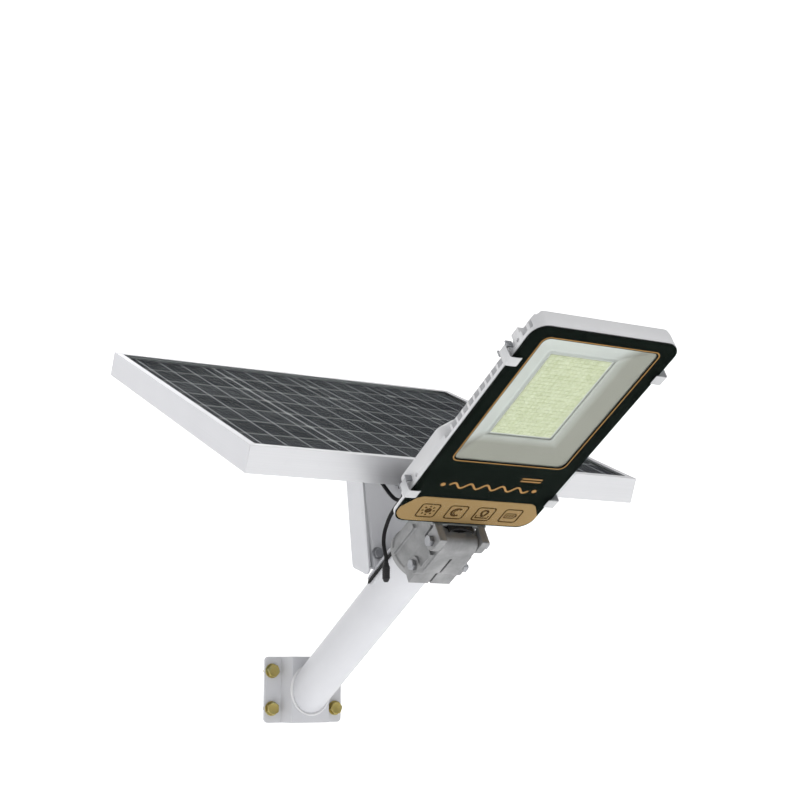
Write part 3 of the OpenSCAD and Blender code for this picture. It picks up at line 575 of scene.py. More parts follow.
def satinReflector():
    # pressed and lacquered sheet: cloudy satin with faint rolling lines, and painted shade darkening one side
    # and the foot
    s = Shader("satinReflector")
    lines = s.noise(s.place((900, 12, 900), arm["slope"]), 1, 2)
    level = s.place(turn=arm["slope"])
    cloud = s.noise(level, 40, 4)
    # painted shade: the right wall and the foot of the tray are darkened towards brown-grey
    right = s.node("ShaderNodeMapRange", {"clamp": True}, {0: s.axis(level, "X"), 1: 0.038, 2: 0.06})
    foot = s.node("ShaderNodeMapRange", {"clamp": True}, {0: s.axis(level, "Y"), 1: -0.645, 2: -0.625})
    paintedShade = s.node("ShaderNodeMath", {"operation": "MAXIMUM"}, (right, foot))
    satin = s.mix(cloud * 0.6, (0.66, 0.665, 0.66), (0.54, 0.545, 0.54))
    return s.done({"Base Color": s.mix(paintedShade * 0.85, satin, (0.27, 0.255, 0.22)), "Metallic": 0.75,
                   "Roughness": 0.36 + cloud * 0.12, "Normal": s.bump(lines, 0.05, 0.0003)})


def phosphor():
    # silicone dome over each chip: yellow-green, paler at the rim
    s = Shader("phosphor")
    here = s.place(turn=arm["slope"])
    soft = s.noise(here, 160, 3)
    tone = s.ramp(soft, [(0.3, (0.55, 0.575, 0.36)), (0.7, (0.68, 0.70, 0.50))])
    return s.done({"Base Color": tone, "Roughness": 0.26 + soft * 0.12, "Coat Weight": 0.4 + soft * 0.2,
                   "Normal": s.bump(soft, 0.05, 0.0003)})


def board(name, colour, track):
    # lacquered circuit board with tracks showing through
    s = Shader(name)
    here = s.place(turn=arm["slope"])
    grid = s.node("ShaderNodeTexBrick", None, {"Vector": here, "Scale": 190.0, "Color1": (0, 0, 0),
                                               "Color2": (0, 0, 0), "Mortar": (1, 1, 1), "Mortar Size": 0.03})
    lines = s.node("ShaderNodeRGBToBW", None, {"Color": grid})
    cloud = s.noise(here, 60, 3)
    return s.done({"Base Color": s.mix(lines * 0.5, colour, track), "Roughness": 0.3 + cloud * 0.15,
                   "Normal": s.bump(cloud, 0.05, 0.0003)})


finishes = {
    "bracket_paint": powderCoat("bracketPaint", (0.63, 0.635, 0.66), (0.585, 0.59, 0.62)),
    "weld": powderCoat("weldPaint", (0.82, 0.82, 0.83), (0.68, 0.68, 0.69), 0.35),
    "head_paint": powderCoat("headPaint", (0.76, 0.763, 0.775), (0.68, 0.685, 0.70), 0.16, arm["slope"]),
    "zinc": zincPlate("yellowZinc", [(0.25, (0.36, 0.30, 0.10)), (0.5, (0.46, 0.37, 0.13)),
                                     (0.62, (0.38, 0.37, 0.17)), (0.8, (0.50, 0.33, 0.20))], 0.26),
    "bright_zinc": zincPlate("brightZinc", [(0.3, (0.26, 0.27, 0.29)), (0.55, (0.36, 0.365, 0.38)),
                                            (0.8, (0.30, 0.315, 0.345))], 0.3),
    "rubber": moulded("blackRubber", (0.014, 0.014, 0.014), 0.62, arm["slope"], 1100, 0.2),
    "cable": sheath(),
    "black_plastic": moulded("blackPlastic", (0.018, 0.018, 0.019), 0.42),
    "cast_alloy": castAlloy(),
    "galvanised": galvanised(),
    "backsheet": moulded("backsheet", (0.70, 0.70, 0.69), 0.5, -panel["slope"], 500, 0.05),
    "solar_glass": solarGlass(),
    "cells": siliconCells(),
    "front_glass": frontGlass(),
    "black_print": printed("blackPrint", (0.004, 0.006, 0.005), (0.009, 0.012, 0.010), 0.25),
    "gold_print": printed("goldPrint", (0.42, 0.20, 0.065), (0.58, 0.33, 0.13), 0.35, 0.4),
    "bronze_print": printed("bronzePrint", (0.32, 0.20, 0.09), (0.40, 0.26, 0.125), 0.4, 0.25),
    "satin_reflector": satinReflector(),
    "white_board": board("whiteBoard", (0.80, 0.80, 0.78), (0.70, 0.71, 0.70)),
    "led_phosphor": phosphor(),
    "battery_wrap": moulded("batteryWrap", (0.03, 0.12, 0.30), 0.3, arm["slope"], 300, 0.05),
    "green_board": board("greenBoard", (0.012, 0.12, 0.045), (0.05, 0.24, 0.10)),
    "clip_steel": polishedSteel(),
    "frameAcross": anodised("anodisedAcross", (0.68, 0.683, 0.70), "x", -panel["slope"]),
    # painted shade: the rails up the slope are the same metal as the rails across, tinted darker and bluer
    # for the shade on their side faces
    "frameUpShaded": anodised("anodisedUpShaded", (0.64, 0.642, 0.665), "y", -panel["slope"]),
    "ribbon": ribbon(),
    "cellBed": moulded("cellBed", (0.17, 0.17, 0.175), 0.4, -panel["slope"], 400, 0.05),
    "iconInk": printed("iconInk", (0.060, 0.032, 0.014), (0.085, 0.048, 0.020), 0.45),
}
print("finishes made:", len(finishes))


eye = {"place": (-1.01033, -1.98274, 0.01512), "azimuth": -30.73, "elevation": -10.72, "lens": 66.33}
camera = linked("camera", bpy.data.cameras.new("camera"))
turnAngle, liftAngle = math.radians(eye["azimuth"]), math.radians(eye["elevation"])
back = Vector((math.sin(turnAngle) * math.cos(liftAngle), -math.cos(turnAngle) * math.cos(liftAngle),
               math.sin(liftAngle)))
camera.location = eye["place"]
camera.rotation_mode = "QUATERNION"
camera.rotation_quaternion = (-back).to_track_quat("-Z", "Y")
camera.data.lens = eye["lens"]
camera.data.sensor_width = 36
camera.data.clip_end = 100
bpy.context.scene.camera = camera


cable = {"radius": 2.5 * mm, "sides": 14, "coupler": (0, -277, 290), "glandTip": 470,
         "glands": ((-68, 8), (-86, 0))}
junction = {"centre": (138, 40), "gland": (100, -5, -15.8)}


def cordPiece(name, route):
    # tube along the Catmull-Rom curve of a route, with UVs that run along it in metres
    path = smoothPath(route, 6)
    mesh = meshOf(name, tube(path, cable["radius"], cable["sides"]))
    travelled = np.concatenate([[0], np.cumsum(np.linalg.norm(np.diff(path, axis=0), axis=1))])
    loops = np.empty(len(mesh.loops), int)
    mesh.loops.foreach_get("vertex_index", loops)
    row = np.minimum(loops // cable["sides"], len(path) - 1)
    around = (loops % cable["sides"]) / cable["sides"]
    mesh.uv_layers.new(name="route").data.foreach_set("uv", np.stack([travelled[row], around], -1).ravel())
    mesh.polygons.foreach_set("use_smooth", np.ones(len(mesh.polygons), bool))
    mesh.materials.append(finishes["cable"])
    piece = linked(name, mesh)
    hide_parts(name.replace("_run", ""))
    print(name, "is", round(travelled[-1], 4), "m long")
    return piece, path


def glandPoint(i, s):
    x, n = cable["glands"][i]
    return onArm(x * mm, s * mm, n * mm)


glandX, glandU, glandW = junction["gland"]
panelStart = onPanel(glandX * mm, np.array([glandU, glandU - 12]) * mm, glandW * mm)
panelRoute = np.array([(99.5, -210.5, 357.5), (98.5, -223, 348.5), (97, -236.5, 339), (94.5, -249, 328),
                       (91, -260.5, 317), (85.5, -270.5, 307.5), (77, -276.5, 298.5), (69, -278.5, 291.5),
                       (60, -277, 290.5), (51, -277, 290), (42, -277, 290)]) * mm
panelRoute = np.concatenate([panelStart, panelRoute])
lampRoute = np.array([(-14, -277, 290), (-26, -277, 290), (-37, -279, 288.5), (-48, -284, 285),
                      (-58, -293, 280.5), (-67, -304, 276), (-75, -317, 273), (-81, -331, 271.5),
                      (-84.5, -345, 270.5), (-86, -359, 268.5), (-86.5, -371, 265), (-86, -382, 259),
                      (-84.5, -390, 251), (-81.5, -396, 243), (-77.5, -402, 236.5), (-73, -410, 234),
                      (-69.5, -416, 234.5)]) * mm
inGland = (cable["glandTip"] - 11, cable["glandTip"])
lampRoute = np.concatenate([lampRoute, [glandPoint(0, s) for s in inGland]])
tailRoute = np.array([(-86, -414.5, 222.5), (-86, -404, 214.5), (-85.5, -395, 205), (-85, -388, 194.5),
                      (-83.5, -383.5, 183), (-81, -382, 173), (-79, -382, 165.5), (-79, -382, 160)]) * mm
tailRoute = np.concatenate([[glandPoint(1, s) for s in inGland[::-1]], tailRoute])

panelCable, panelPath = cordPiece("panel_cable_run", panelRoute)
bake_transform(panelCable)
lampCable, lampPath = cordPiece("lamp_cable_run", lampRoute)
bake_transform(lampCable)
tailLead, tailPath = cordPiece("tail_lead_run", tailRoute)
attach(tailLead, "head")
plugProfile = ribbedLathe([(0, 2.2, 1.2, 3.3, 0, 0), (1.2, 3.3, 4, 4.4, 0, 0), (4, 4.4, 5, 5, 0, 0),
                           (5, 5, 17, 5, 5, 0.35), (17, 5, 20, 4.6, 0, 0), (20, 4.4, 26, 2.7, 2, 0.3)])
plugBody = turned(plugProfile, np.array([-79, -382, 134]) * mm, (0, 0, 1), 28)
tailPlug = makePiece("tail_plug", plugBody, "head", "tail_connector", "black_plastic", 50)
print("cords made")


wall = {"boltX": 52 * mm, "boltZ": 27 * mm, "face": 6 * mm, "head": 6.4 * mm, "flats": 16.9 * mm,
        "radius": 5 * mm, "reach": 16 * mm, "pitch": 1.5 * mm, "threadFrom": 3 * mm,
        "washer": (5.5 * mm, 10.5 * mm, 2 * mm)}
softened("wall_bracket", "arm", "bracket_paint", 1.1, 3, 25)
wallBolts, wallWashers = [], []
for index, (i, k) in enumerate([(-1, -1), (-1, 1), (1, -1), (1, 1)]):
    seat = np.array([i * wall["boltX"], -wall["face"], k * wall["boltZ"]])
    wallBolts.append(hexHead(seat, outward, wall["flats"], wall["head"], 0.35 * index))
    wallBolts.append(threaded(seat - outward * wall["threadFrom"], -outward, wall["radius"],
                              wall["reach"] + wall["face"] - wall["threadFrom"], wall["pitch"]))
    wallWashers.append(washer(seat - outward * wall["washer"][2], outward, *wall["washer"]))
makePiece("bracket_bolts", joined(*wallBolts), "arm", "wall_bolts", "zinc", 28)
makePiece("bracket_washers", joined(*wallWashers), "arm", "wall_washers", "zinc", 30)


def tubeSkin(gauge=3 * mm, rim=0.6 * mm):
    # outer wall from the bracket's face out to the end, over the rim and back inside; start s = n tan(30)
    t = fullTurn(96)
    outer, inner, end = arm["tubeRadius"], arm["tubeRadius"] - gauge, arm["tubeEnd"] - rim
    rows = []
    for r, share, past in ((outer, 0, 0), (outer, 0.25, 0), (outer, 0.5, 0), (outer, 0.75, 0), (outer, 1, 0),
                           (outer - rim, 1, rim), (inner + rim, 1, rim), (inner, 1, 0), (inner, 0.5, 0),
                           (inner, 0, 0)):
        start = r * np.cos(t) * math.tan(arm["slope"])
        rows.append(onArm(r * np.sin(t), start + (end - start) * share + past, r * np.cos(t)))
    return surface(np.stack(rows), closeRows=True, closeCols=True)


makePiece("arm_pipe", tubeSkin(), "arm", "arm_tube", "bracket_paint", 40)


def weldBead(size=2.3, swell=0.45, ripples=44):
    # bead round the tube's foot: section radius swells and drops once for each laid ripple
    t = fullTurn(720)
    ripple = np.abs(np.sin(t * ripples + 0.8 * np.sin(t * 5)))
    r = (size + swell * ripple + 0.15 * np.sin(t * 3)) * mm
    foot = onArm(arm["tubeRadius"] * np.sin(t), arm["tubeRadius"] * np.cos(t) * math.tan(arm["slope"]),
                 arm["tubeRadius"] * np.cos(t))
    outwards = onArm(np.sin(t), 0, np.cos(t)) - onArm(0, 0, 0)
    q = fullTurn(12)
    section = np.cos(q)[None, :, None] * outwards[:, None] + np.sin(q)[None, :, None] * outward
    points = foot[:, None] + (outwards * 0.6 * mm)[:, None] + r[:, None, None] * section
    points[..., 1] = np.minimum(points[..., 1], -arm["face"] + 0.1 * mm)  # nothing sinks into the bracket
    return surface(points, closeRows=True, closeCols=True)


makePiece("weld_ripples", weldBead(), "arm", "weld_bead", "weld", 60)
print("bracket and arm made")


bolt = {"flats": 12.9 * mm, "radius": 4 * mm, "pitch": 1.25 * mm, "head": 5.4 * mm}
saddle = {"screwsAlong": (306, 332), "top": 35.5 * mm, "flats": 9.5 * mm, "head": 3 * mm}
strut = {"boltX": 25, "seatY": -265.24, "boltZ": 181, "washer": (4.2 * mm, 8 * mm, 1.5 * mm), "nut": 6.4 * mm,
         "plates": 6 * mm, "threadFrom": 2 * mm, "reach": 12 * mm}
for node, look, *edges in (("saddle_pad", "rubber", 0.5), ("strut_saddle", "bracket_paint", 0.7),
                           ("panel_strut", "bracket_paint", 1.0, 3, 25), ("cable_clip", "black_plastic", 0.5),
                           ("tube_plug", "black_plastic", 0.6)):
    softened(node, "arm", look, *edges)
saddleScrews = [hexHead(onArm(0, s * mm, saddle["top"]), aboveArm, saddle["flats"], saddle["head"], 0.4 * s)
                for s in saddle["screwsAlong"]]
makePiece("saddle_screw_heads", joined(*saddleScrews), "arm", "saddle_screws", "bright_zinc", 28)


def boltAndNut(centre, half, head, ring, nut, tip, phase):
    # head on the minus side; washer, nut and a threaded tip on the plus side; sizes in millimetres
    half, head, ring, nut, tip = np.array([half, head, ring, nut, tip]) * mm
    low, high = centre - across * half, centre + across * half
    shank = bolt["radius"] * 0.95
    parts = [hexHead(low, -across, bolt["flats"], head, phase),
             turned([(shank, 0), (shank, 2 * half)], low, across, 24)]
    if ring:
        parts.append(washer(high, across, bolt["radius"] * 1.06, bolt["flats"] * 0.65, ring))
    seat = high + across * ring
    parts.append(hexHead(seat, across, bolt["flats"], nut, phase + 0.3))
    inNut = nut * 0.6
    parts.append(threaded(seat + across * inNut, across, bolt["radius"], tip - ring - inNut, bolt["pitch"]))
    return joined(*parts)


for name, centre, sizes in (("tilt_bolt", onPanel(0, -83 * mm, -58 * mm), (55.5, 6.6, 0, 6.7, 11.6, 0)),
                            ("pinch_bolt", onArm(0, 380 * mm, -37 * mm), (35, 5.4, 1.6, 6.8, 11.9, 38)),
                            ("pivot_bolt", onArm(0, 433 * mm, -37 * mm), (37.3, 5.4, 1.6, 6.8, 11.9, 43.3))):
    makePiece(name + "_set", boltAndNut(centre, *sizes), "arm", name, "bright_zinc", 28)
strutBolts = []
for i in (-1, 1):
    seat = np.array([i * strut["boltX"], strut["seatY"], strut["boltZ"]]) * mm
    onWasher, inside = seat + outward * strut["washer"][2], seat - outward * strut["threadFrom"]
    strutBolts += [washer(seat, outward, *strut["washer"]),
                   hexHead(onWasher, outward, bolt["flats"], bolt["head"], 0.7 * i),
                   threaded(inside, -outward, bolt["radius"], strut["reach"], bolt["pitch"]),
                   hexHead(seat - outward * strut["plates"], -outward, bolt["flats"], strut["nut"], 0.2)]
makePiece("strut_bolt_set", joined(*strutBolts), "arm", "strut_bolts", "bright_zinc", 28)

couplerProfile = ribbedLathe([(0, 3.6, 2, 4.8, 0, 0), (2, 4.9, 8, 4.9, 3, 0.4), (8, 5, 9, 6.9, 0, 0),
                              (9, 7, 26, 7, 0, 0), (26, 6.2, 28, 6.2, 0, 0), (28, 7, 47, 7, 8, 0.4),
                              (47, 6.9, 48, 5, 0, 0), (48, 4.9, 54, 4.9, 3, 0.4), (54, 4.8, 56, 3.6, 0, 0)])
couplerBody = turned(couplerProfile, (np.array(cable["coupler"]) - (14, 0, 0)) * mm, across, 32)
makePiece("cable_coupler_body", couplerBody, "arm", "cable_coupler", "black_plastic", 45)
print("strut made")


def castBody(node, body, voxel):
    # the node turned level with the arm, voxel-remeshed so that its edges melt, then turned back
    level = Matrix.Rotation(arm["slope"], 4, "X")
    piece = linked(node + "_cast", mergedCopy(node, turn=level))
    remesh = piece.modifiers.new("voxels", "REMESH")
    remesh.mode = "VOXEL"
    remesh.voxel_size = voxel
    soften = piece.modifiers.new("soften", "SMOOTH")
    soften.factor = 0.5
    soften.iterations = 3
    thin = piece.modifiers.new("thin", "DECIMATE")
    thin.decimate_type = "COLLAPSE"
    thin.ratio = 0.5
    made = bpy.data.meshes.new_from_object(piece.evaluated_get(bpy.context.evaluated_depsgraph_get()))
    piece.modifiers.clear()
    piece.data = made
    made.transform(level.inverted())
    return dress(piece, body, node, "cast_alloy", 180)


castBody("knuckle_sleeve", "arm", 1.0 * mm)
castBody("neck_casting", "head", 0.9 * mm)


def panHeads(profile, places, axis, sides):
    # one low round head for each place, from (radius, height) pairs in millimetres
    return joined(*[turned(np.array(profile) * mm, place, axis, sides) for place in places])


neck = {"screwX": 35 * mm, "screwsAlong": (462, 484), "top": 14 * mm,
        "profile": [(0.1, 1.2), (1.5, 1.2), (1.7, 2.4), (3.2, 2.4), (3.9, 1.4), (4, 0)]}
neckPlaces = [onArm(i * neck["screwX"], s * mm, neck["top"]) for i in (-1, 1) for s in neck["screwsAlong"]]
makePiece("neck_screw_heads", panHeads(neck["profile"], neckPlaces, aboveArm, 24), "head", "neck_screws",
          "bright_zinc", 30)


def sealArch(half=18, ribPitch=6, rise=4.5):
    # ribbed rubber block: depth rises and falls in soft ribs across it
    x = np.linspace(-half, half, 73)
    ribs = 0.2 * np.cos(x * 2 * np.pi / ribPitch)
    arch = rise * (1 - (x / half) ** 2) - ribs
    section = ((448, -24.3, 0), (451.2, -24.3, 0), (451.2, -33.2, 1), (450.2, -33.9, 1), (448.8, -33.9, 1),
               (447.8, -33.2, 1))
    loop = [onArm(x * mm, s * mm, (n + arch * share) * mm) for s, n, share in section]
    return surface(np.stack(loop, 1), closeCols=True, capRows=True)


makePiece("neck_seal_arch", sealArch(), "head", "neck_seal", "rubber", 40)
print("knuckle made")


laminate = {"width": 574 * mm, "height": 514 * mm, "columns": 4, "rows": 7, "border": 9 * mm,
            "gapX": 2.2 * mm, "gapU": 5 * mm, "corner": 6 * mm, "top": -4.75 * mm, "thick": 0.2 * mm,
            "bars": 4}
for node, look in (("frame_front", "frameAcross"), ("frame_rear", "frameAcross"), ("frame_left", "frameUpShaded"),
                   ("frame_right", "frameUpShaded")):
    softened(node, "panel", look, 0.35)
refinished({"panel_glass": "solar_glass", "backsheet": "backsheet", "corner_keys": "galvanised"})
usable = np.array([laminate["width"], laminate["height"]]) - 2 * laminate["border"]
shape = np.array([laminate["columns"], laminate["rows"]])
pitchX, pitchU = usable / shape


def cellSheet():
    # one octagon for each cell, its corners cut
    halfX, halfU = (pitchX - laminate["gapX"]) / 2, (pitchU - laminate["gapU"]) / 2
    c = laminate["corner"]
    outline = np.array([(halfX - c, -halfU), (halfX, c - halfU), (halfX, halfU - c), (halfX - c, halfU),
                        (c - halfX, halfU), (-halfX, halfU - c), (-halfX, c - halfU), (c - halfX, -halfU)])
    x = (np.arange(laminate["columns"]) - (laminate["columns"] - 1) / 2) * pitchX
    u = (np.arange(laminate["rows"]) - (laminate["rows"] - 1) / 2) * pitchU
    gx, gu = np.meshgrid(x, u)
    flat = np.stack([gx.ravel(), gu.ravel()], -1)[:, None] + outline[None]
    top, low = laminate["top"], laminate["top"] - laminate["thick"]
    verts = np.concatenate([onPanel(flat[..., 0], flat[..., 1], w).reshape(-1, 3) for w in (top, low)])
    first = np.arange(len(flat))[:, None] * 8
    under = len(flat) * 8
    step, after = first + np.arange(8), first + (np.arange(8) + 1) % 8
    walls = np.stack([step, step + under, after + under, after], -1).reshape(-1, 4)
    return verts, [step, step[:, ::-1] + under, walls]


cellPiece = makePiece("silicon_cells", cellSheet(), "panel", "solar_cells", "cells", 30)
# every cell's own shade, as a face attribute; a face finds its cell by where its middle lies on the panel
shades = np.random.default_rng(7).random(laminate["columns"] * laminate["rows"])
shadeOf = cellPiece.data.attributes.new("cellShade", "FLOAT", "FACE")
middles = np.array([p.center for p in cellPiece.data.polygons]) - onPanel(0, 0, 0)
flatMiddles = np.stack([middles[:, 0], middles @ upPanel], -1)
columnOf, rowOf = np.clip((flatMiddles / usable + 0.5) * shape, 0, shape - 0.01).astype(int).T
shadeOf.data.foreach_set("value", shades[rowOf * laminate["columns"] + columnOf].astype(np.float32))


def ribbons():
    # tinned ribbons down every column and thin strips that show in the gaps
    usableX, usableU = usable
    bars = (np.arange(laminate["columns"] * laminate["bars"]) + 0.5) / laminate["bars"]
    barX = (bars - laminate["columns"] / 2) * pitchX
    lift = laminate["top"] + np.array([0.06, 0.05, 0.02]) * mm
    barCentres = np.stack([barX, barX * 0, barX * 0 + lift[0]], -1)
    ends = [[0, (usableU / 2 + 3 * mm) * i, lift[2]] for i in (-1, 1)]
    return joined(boxes(barCentres, (1.1 * mm, usableU, 0.1 * mm), onPanel),
                  boxes([[-pitchX, 0, lift[1]]], (1.6 * mm, usableU + 6 * mm, 0.14 * mm), onPanel),
                  boxes(ends, (usableX, 2.4 * mm, 0.16 * mm), onPanel))


makePiece("cell_ribbons", ribbons(), "panel", None, "ribbon", 30)
bed = plate(roundRect(laminate["width"], laminate["height"], 1 * mm, 3), -5.25 * mm, -5.05 * mm, onPanel)
makePiece("cell_bed", bed, "panel", None, "cellBed", 30)
softened("support_rails", "panel", "galvanised", 0.5)
softened("tilt_cradle", "panel", "galvanised", 0.6)
softened("junction_box", "panel", "black_plastic", 0.8)


def stepped(layers, centre, place, cap=True):
    # rounded outlines of (width, length, corner, height) in millimetres, one above another
    middle = np.array(centre) * mm
    rows = [place(*(roundRect(w * mm, h * mm, r * mm) + middle).T, n * mm) for w, h, r, n in layers]
    return surface(np.stack(rows), closeCols=True, capRows=cap)


lid = stepped([(104, 62, 6, -25.8), (104, 62, 6, -28.0), (102.6, 60.6, 5.4, -28.8), (88, 46, 5, -28.8),
               (86, 44, 4.5, -28.1), (84, 42, 4, -28.1)], junction["centre"], onPanel)
makePiece("junction_lid_skin", lid, "panel", "junction_lid", "black_plastic", 35)
glandRibs = ribbedLathe([(0, 3.1, 1, 4.4, 0, 0), (1, 4.6, 8, 7.4, 4, 0.5), (8, 8.6, 14, 8.6, 0, 0),
                         (14, 6, 17, 6, 0, 0)])
makePiece("junction_gland_skin", turned(glandRibs, panelStart[0], upPanel, 24), "panel", "junction_gland",
          "black_plastic", 40)
rail = {"x": 66, "screwOut": 11.5, "screwUp": 249 * mm, "back": -35 * mm, "flats": 5.1 * mm, "head": 2.9 * mm}
cradle = {"x": 77.5, "boltsUp": (-96, -42), "back": -36 * mm, "flats": 10.3 * mm, "head": 4.4 * mm}
railScrews = [hexHead(onPanel((i * rail["x"] + k * rail["screwOut"]) * mm, j * rail["screwUp"], rail["back"]),
                      behindPanel, rail["flats"], rail["head"], 0.5 * k)
              for i in (-1, 1) for k in (-1, 1) for j in (-1, 1)]
makePiece("rail_screw_heads", joined(*railScrews), "panel", "rail_bolts", "bright_zinc", 28)
cradleHeads = [hexHead(onPanel(i * cradle["x"] * mm, u * mm, cradle["back"]), behindPanel, cradle["flats"],
                       cradle["head"], 0.3 * u) for i in (-1, 1) for u in cradle["boltsUp"]]
makePiece("cradle_bolt_heads", joined(*cradleHeads), "panel", "cradle_bolts", "bright_zinc", 28)
print("panel made")


lamp = {"mid": 632 * mm, "window": (160 * mm, 216 * mm), "windowMid": 686 * mm,
        "print": (-22.75 * mm, -22.35 * mm), "glass": (-26 * mm, -22.8 * mm)}
coverHead = {"screwX": 70 * mm, "screwsAlong": (506, 594), "top": 19 * mm,
             "profile": [(0.1, 0.7), (1.3, 0.7), (1.5, 1.7), (2.6, 1.8), (3.5, 1.0), (3.6, 0)]}


def onHead(x, y, n):
    # plan outlines use y up the sheet, which is towards the arm
    return onArm(x, lamp["mid"] - y, n)


def onWindow(x, y, n):
    return onArm(x, lamp["windowMid"] - y, n)


softened("head_housing", "head", "head_paint", 0.8, 2, 25)
cover = stepped([(205.8, 111.8, 12, -9.9), (205.8, 111.8, 12, 5.6), (205, 111.2, 12, 6.8),
                 (203, 110.6, 12, 7.8), (168, 109.6, 10, 17.6), (164, 109, 9, 18.7), (158, 106, 8, 19),
                 (60, 60, 8, 19)], (0, 84), onHead)
makePiece("rear_cover_shell", cover, "head", "rear_cover", "head_paint", 38)
coverPlaces = [onArm(i * coverHead["screwX"], s * mm, coverHead["top"])
               for i in (-1, 1) for s in coverHead["screwsAlong"]]
makePiece("cover_screw_heads", panHeads(coverHead["profile"], coverPlaces, aboveArm, 28), "head",
          "cover_screws", "bright_zinc", 30)
glandNut = ribbedLathe([(0, 2.9, 1.5, 3.6, 0, 0), (1.5, 3.6, 12, 5.2, 5, 0.4), (12, 5.6, 16, 6, 0, 0)])
glandParts = []
for i in (0, 1):
    glandParts.append(turned(glandNut, glandPoint(i, cable["glandTip"]), alongArm, 28))
    glandParts.append(hexHead(glandPoint(i, 492), -alongArm, 12.1 * mm, 6 * mm, 0.4 * i))
makePiece("head_glands", joined(*glandParts), "head", "cable_glands", "black_plastic", 35)
frontSheet = plate(roundRect(205.6 * mm, 359.6 * mm, 19.8 * mm, 16), *lamp["glass"], onHead, 0.5 * mm)
makePiece("front_glass_sheet", frontSheet, "head", "front_glass", "front_glass", 30)
refinished({"glass_mask": "black_print", "glass_gasket": "rubber", "led_board": "white_board",
            "battery_pack": "battery_wrap", "battery_strap": "black_plastic",
            "controller_board": "green_board"})


def windowLine(grow, thick):
    # printed line round the window, between two rounded outlines
    width, height = lamp["window"]
    inner = roundRect(width + grow, height + grow, 9 * mm)
    outer = roundRect(width + grow + thick, height + grow + thick, 10 * mm)
    return framePlate(outer, inner, *lamp["print"], onWindow)


makePiece("window_line", windowLine(3 * mm, 2.4 * mm), "head", "gold_line", "gold_print", 40)


def labelStrip():
    # strip across the foot of the glass: slanted shoulders above, round corners below
    t = np.linspace(0, np.pi / 2, 10)
    corner = np.stack([82 + 20 * np.sin(t), 157 + 20 * np.cos(t)], -1)[::-1]
    half = np.concatenate([[(80, 129), (88, 133), (101.6, 152)], corner, [(82, 177.2)]])
    whole = np.concatenate([half, half[::-1] * [-1, 1]]) * mm
    return plate(whole, *lamp["print"], onHead)


makePiece("label_strip", labelStrip(), "head", "label_plate", "bronze_print", 40)


def stroke(points, width, low=-22.795 * mm, high=-22.765 * mm, closed=False):
    # flat line along points: each point is moved half a width to either side of the line's heading
    p = np.asarray(points, float) * mm
    heading = np.roll(p, -1, 0) - np.roll(p, 1, 0) if closed else np.gradient(p, axis=0)
    heading /= np.linalg.norm(heading, axis=1)[:, None]
    side = np.stack([-heading[:, 1], heading[:, 0]], -1) * width * mm / 2
    loop = [(p + side, low), (p - side, low), (p - side, high), (p + side, high)]
    rows = np.stack([onHead(o[:, 0], o[:, 1], h) for o, h in loop], 1)
    return surface(rows, closeRows=closed, closeCols=True, capRows=not closed)


def arc(x, y, r, start, end, count=20):
    # points at x + r cos(angle), y + r sin(angle), angles in degrees
    t = np.radians(np.linspace(start, end, count))
    return np.stack([x + r * np.cos(t), y + r * np.sin(t)], -1)


def sunIcon(x, y):
    rays = [[(x + r * math.cos(a), y + r * math.sin(a)) for r in (6.6, 9.6)] for a in fullTurn(8)]
    return [stroke(arc(x, y, 2.6, 0, 342), 4.4, closed=True)] + [stroke(ray, 2.6) for ray in rays]


def moonIcon(x, y):
    return [stroke(arc(x + 0.5, y, 7.0, 50, 310, 26), 3.4), stroke(arc(x + 1.4, y, 4.6, 100, 260, 18), 1.8)]


def dropIcon(x, y):
    t = fullTurn(28)
    drop = np.stack([x + 5 * np.cos(t) * (1 + 0.35 * np.sin(t)) * 0.8, y - 1.5 - 6 * np.sin(t)], -1)
    shelter = [(x - 9, y + 3), (x - 9, y + 8), (x + 9, y + 8), (x + 9, y + 3)]
    return [stroke(drop, 3.4, closed=True), stroke(shelter, 2.4)]


def cellIcon(x, y):
    body = roundRect(15, 9, 1.5, 4) + (x - 1, y)
    marks = [[(x - 5 + 4 * i, y - 2.4), (x - 5 + 4 * i, y + 2.4)] for i in range(3)]
    return [stroke(body, 1.8, closed=True), stroke([(x + 8, y - 2), (x + 8, y + 2)], 2.2)] \
        + [stroke(mark, 2.2) for mark in marks]


icons = {"row": 156, "size": 26, "corner": 4, "line": 2.3, "first": -60, "pitch": 41}
iconParts = []
for place, draw in enumerate((sunIcon, moonIcon, dropIcon, cellIcon)):
    x = icons["first"] + icons["pitch"] * place
    box = roundRect(icons["size"], icons["size"], icons["corner"], 6)
    iconParts.append(stroke(box + (x, icons["row"]), icons["line"], closed=True))
    iconParts += draw(x, icons["row"])
makePiece("label_icons", joined(*iconParts), "head", None, "iconInk", 40)


def ornament(middle=103, swing=4.6, wavelength=23.2):
    # printed wave y = a sin(2 pi x / length) between two dots, and a short pair of bars above its right end
    x = np.linspace(-58, 58, 140)
    wave = np.stack([x, middle + swing * np.sin(x * 2 * np.pi / wavelength)], -1)
    ink = {"low": -22.75 * mm, "high": -22.4 * mm}
    dots = [stroke(arc(i * 67, middle, 1.7, 0, 330, 12), 3.2, closed=True, **ink) for i in (-1, 1)]
    bars = [stroke([(36, y), (66, y)], 2.0, **ink) for y in (80, 85)]
    return joined(stroke(wave, 2.6, **ink), *dots, *bars)


makePiece("printed_wave", ornament(), "head", None, "gold_print", 40)
# pressed tray: the outline shrinks from the window's rim to the chips with soft knees
tray = stepped([(170, 226, 12, -20.9), (169, 225, 12, -21.3), (166, 222, 11, -21.2), (152, 207, 9, -18.6),
                (110, 164, 6, -9.9), (104, 158, 5, -8.9), (92, 146, 2, -8.5)], (0, 0), onWindow, cap=False)
makePiece("reflector_tray", tray, "head", "reflector", "satin_reflector", 40, thick=0.6 * mm)


chips = {"columns": 14, "rows": 23, "pitch": 6.0 * mm, "half": 2.75 * mm}


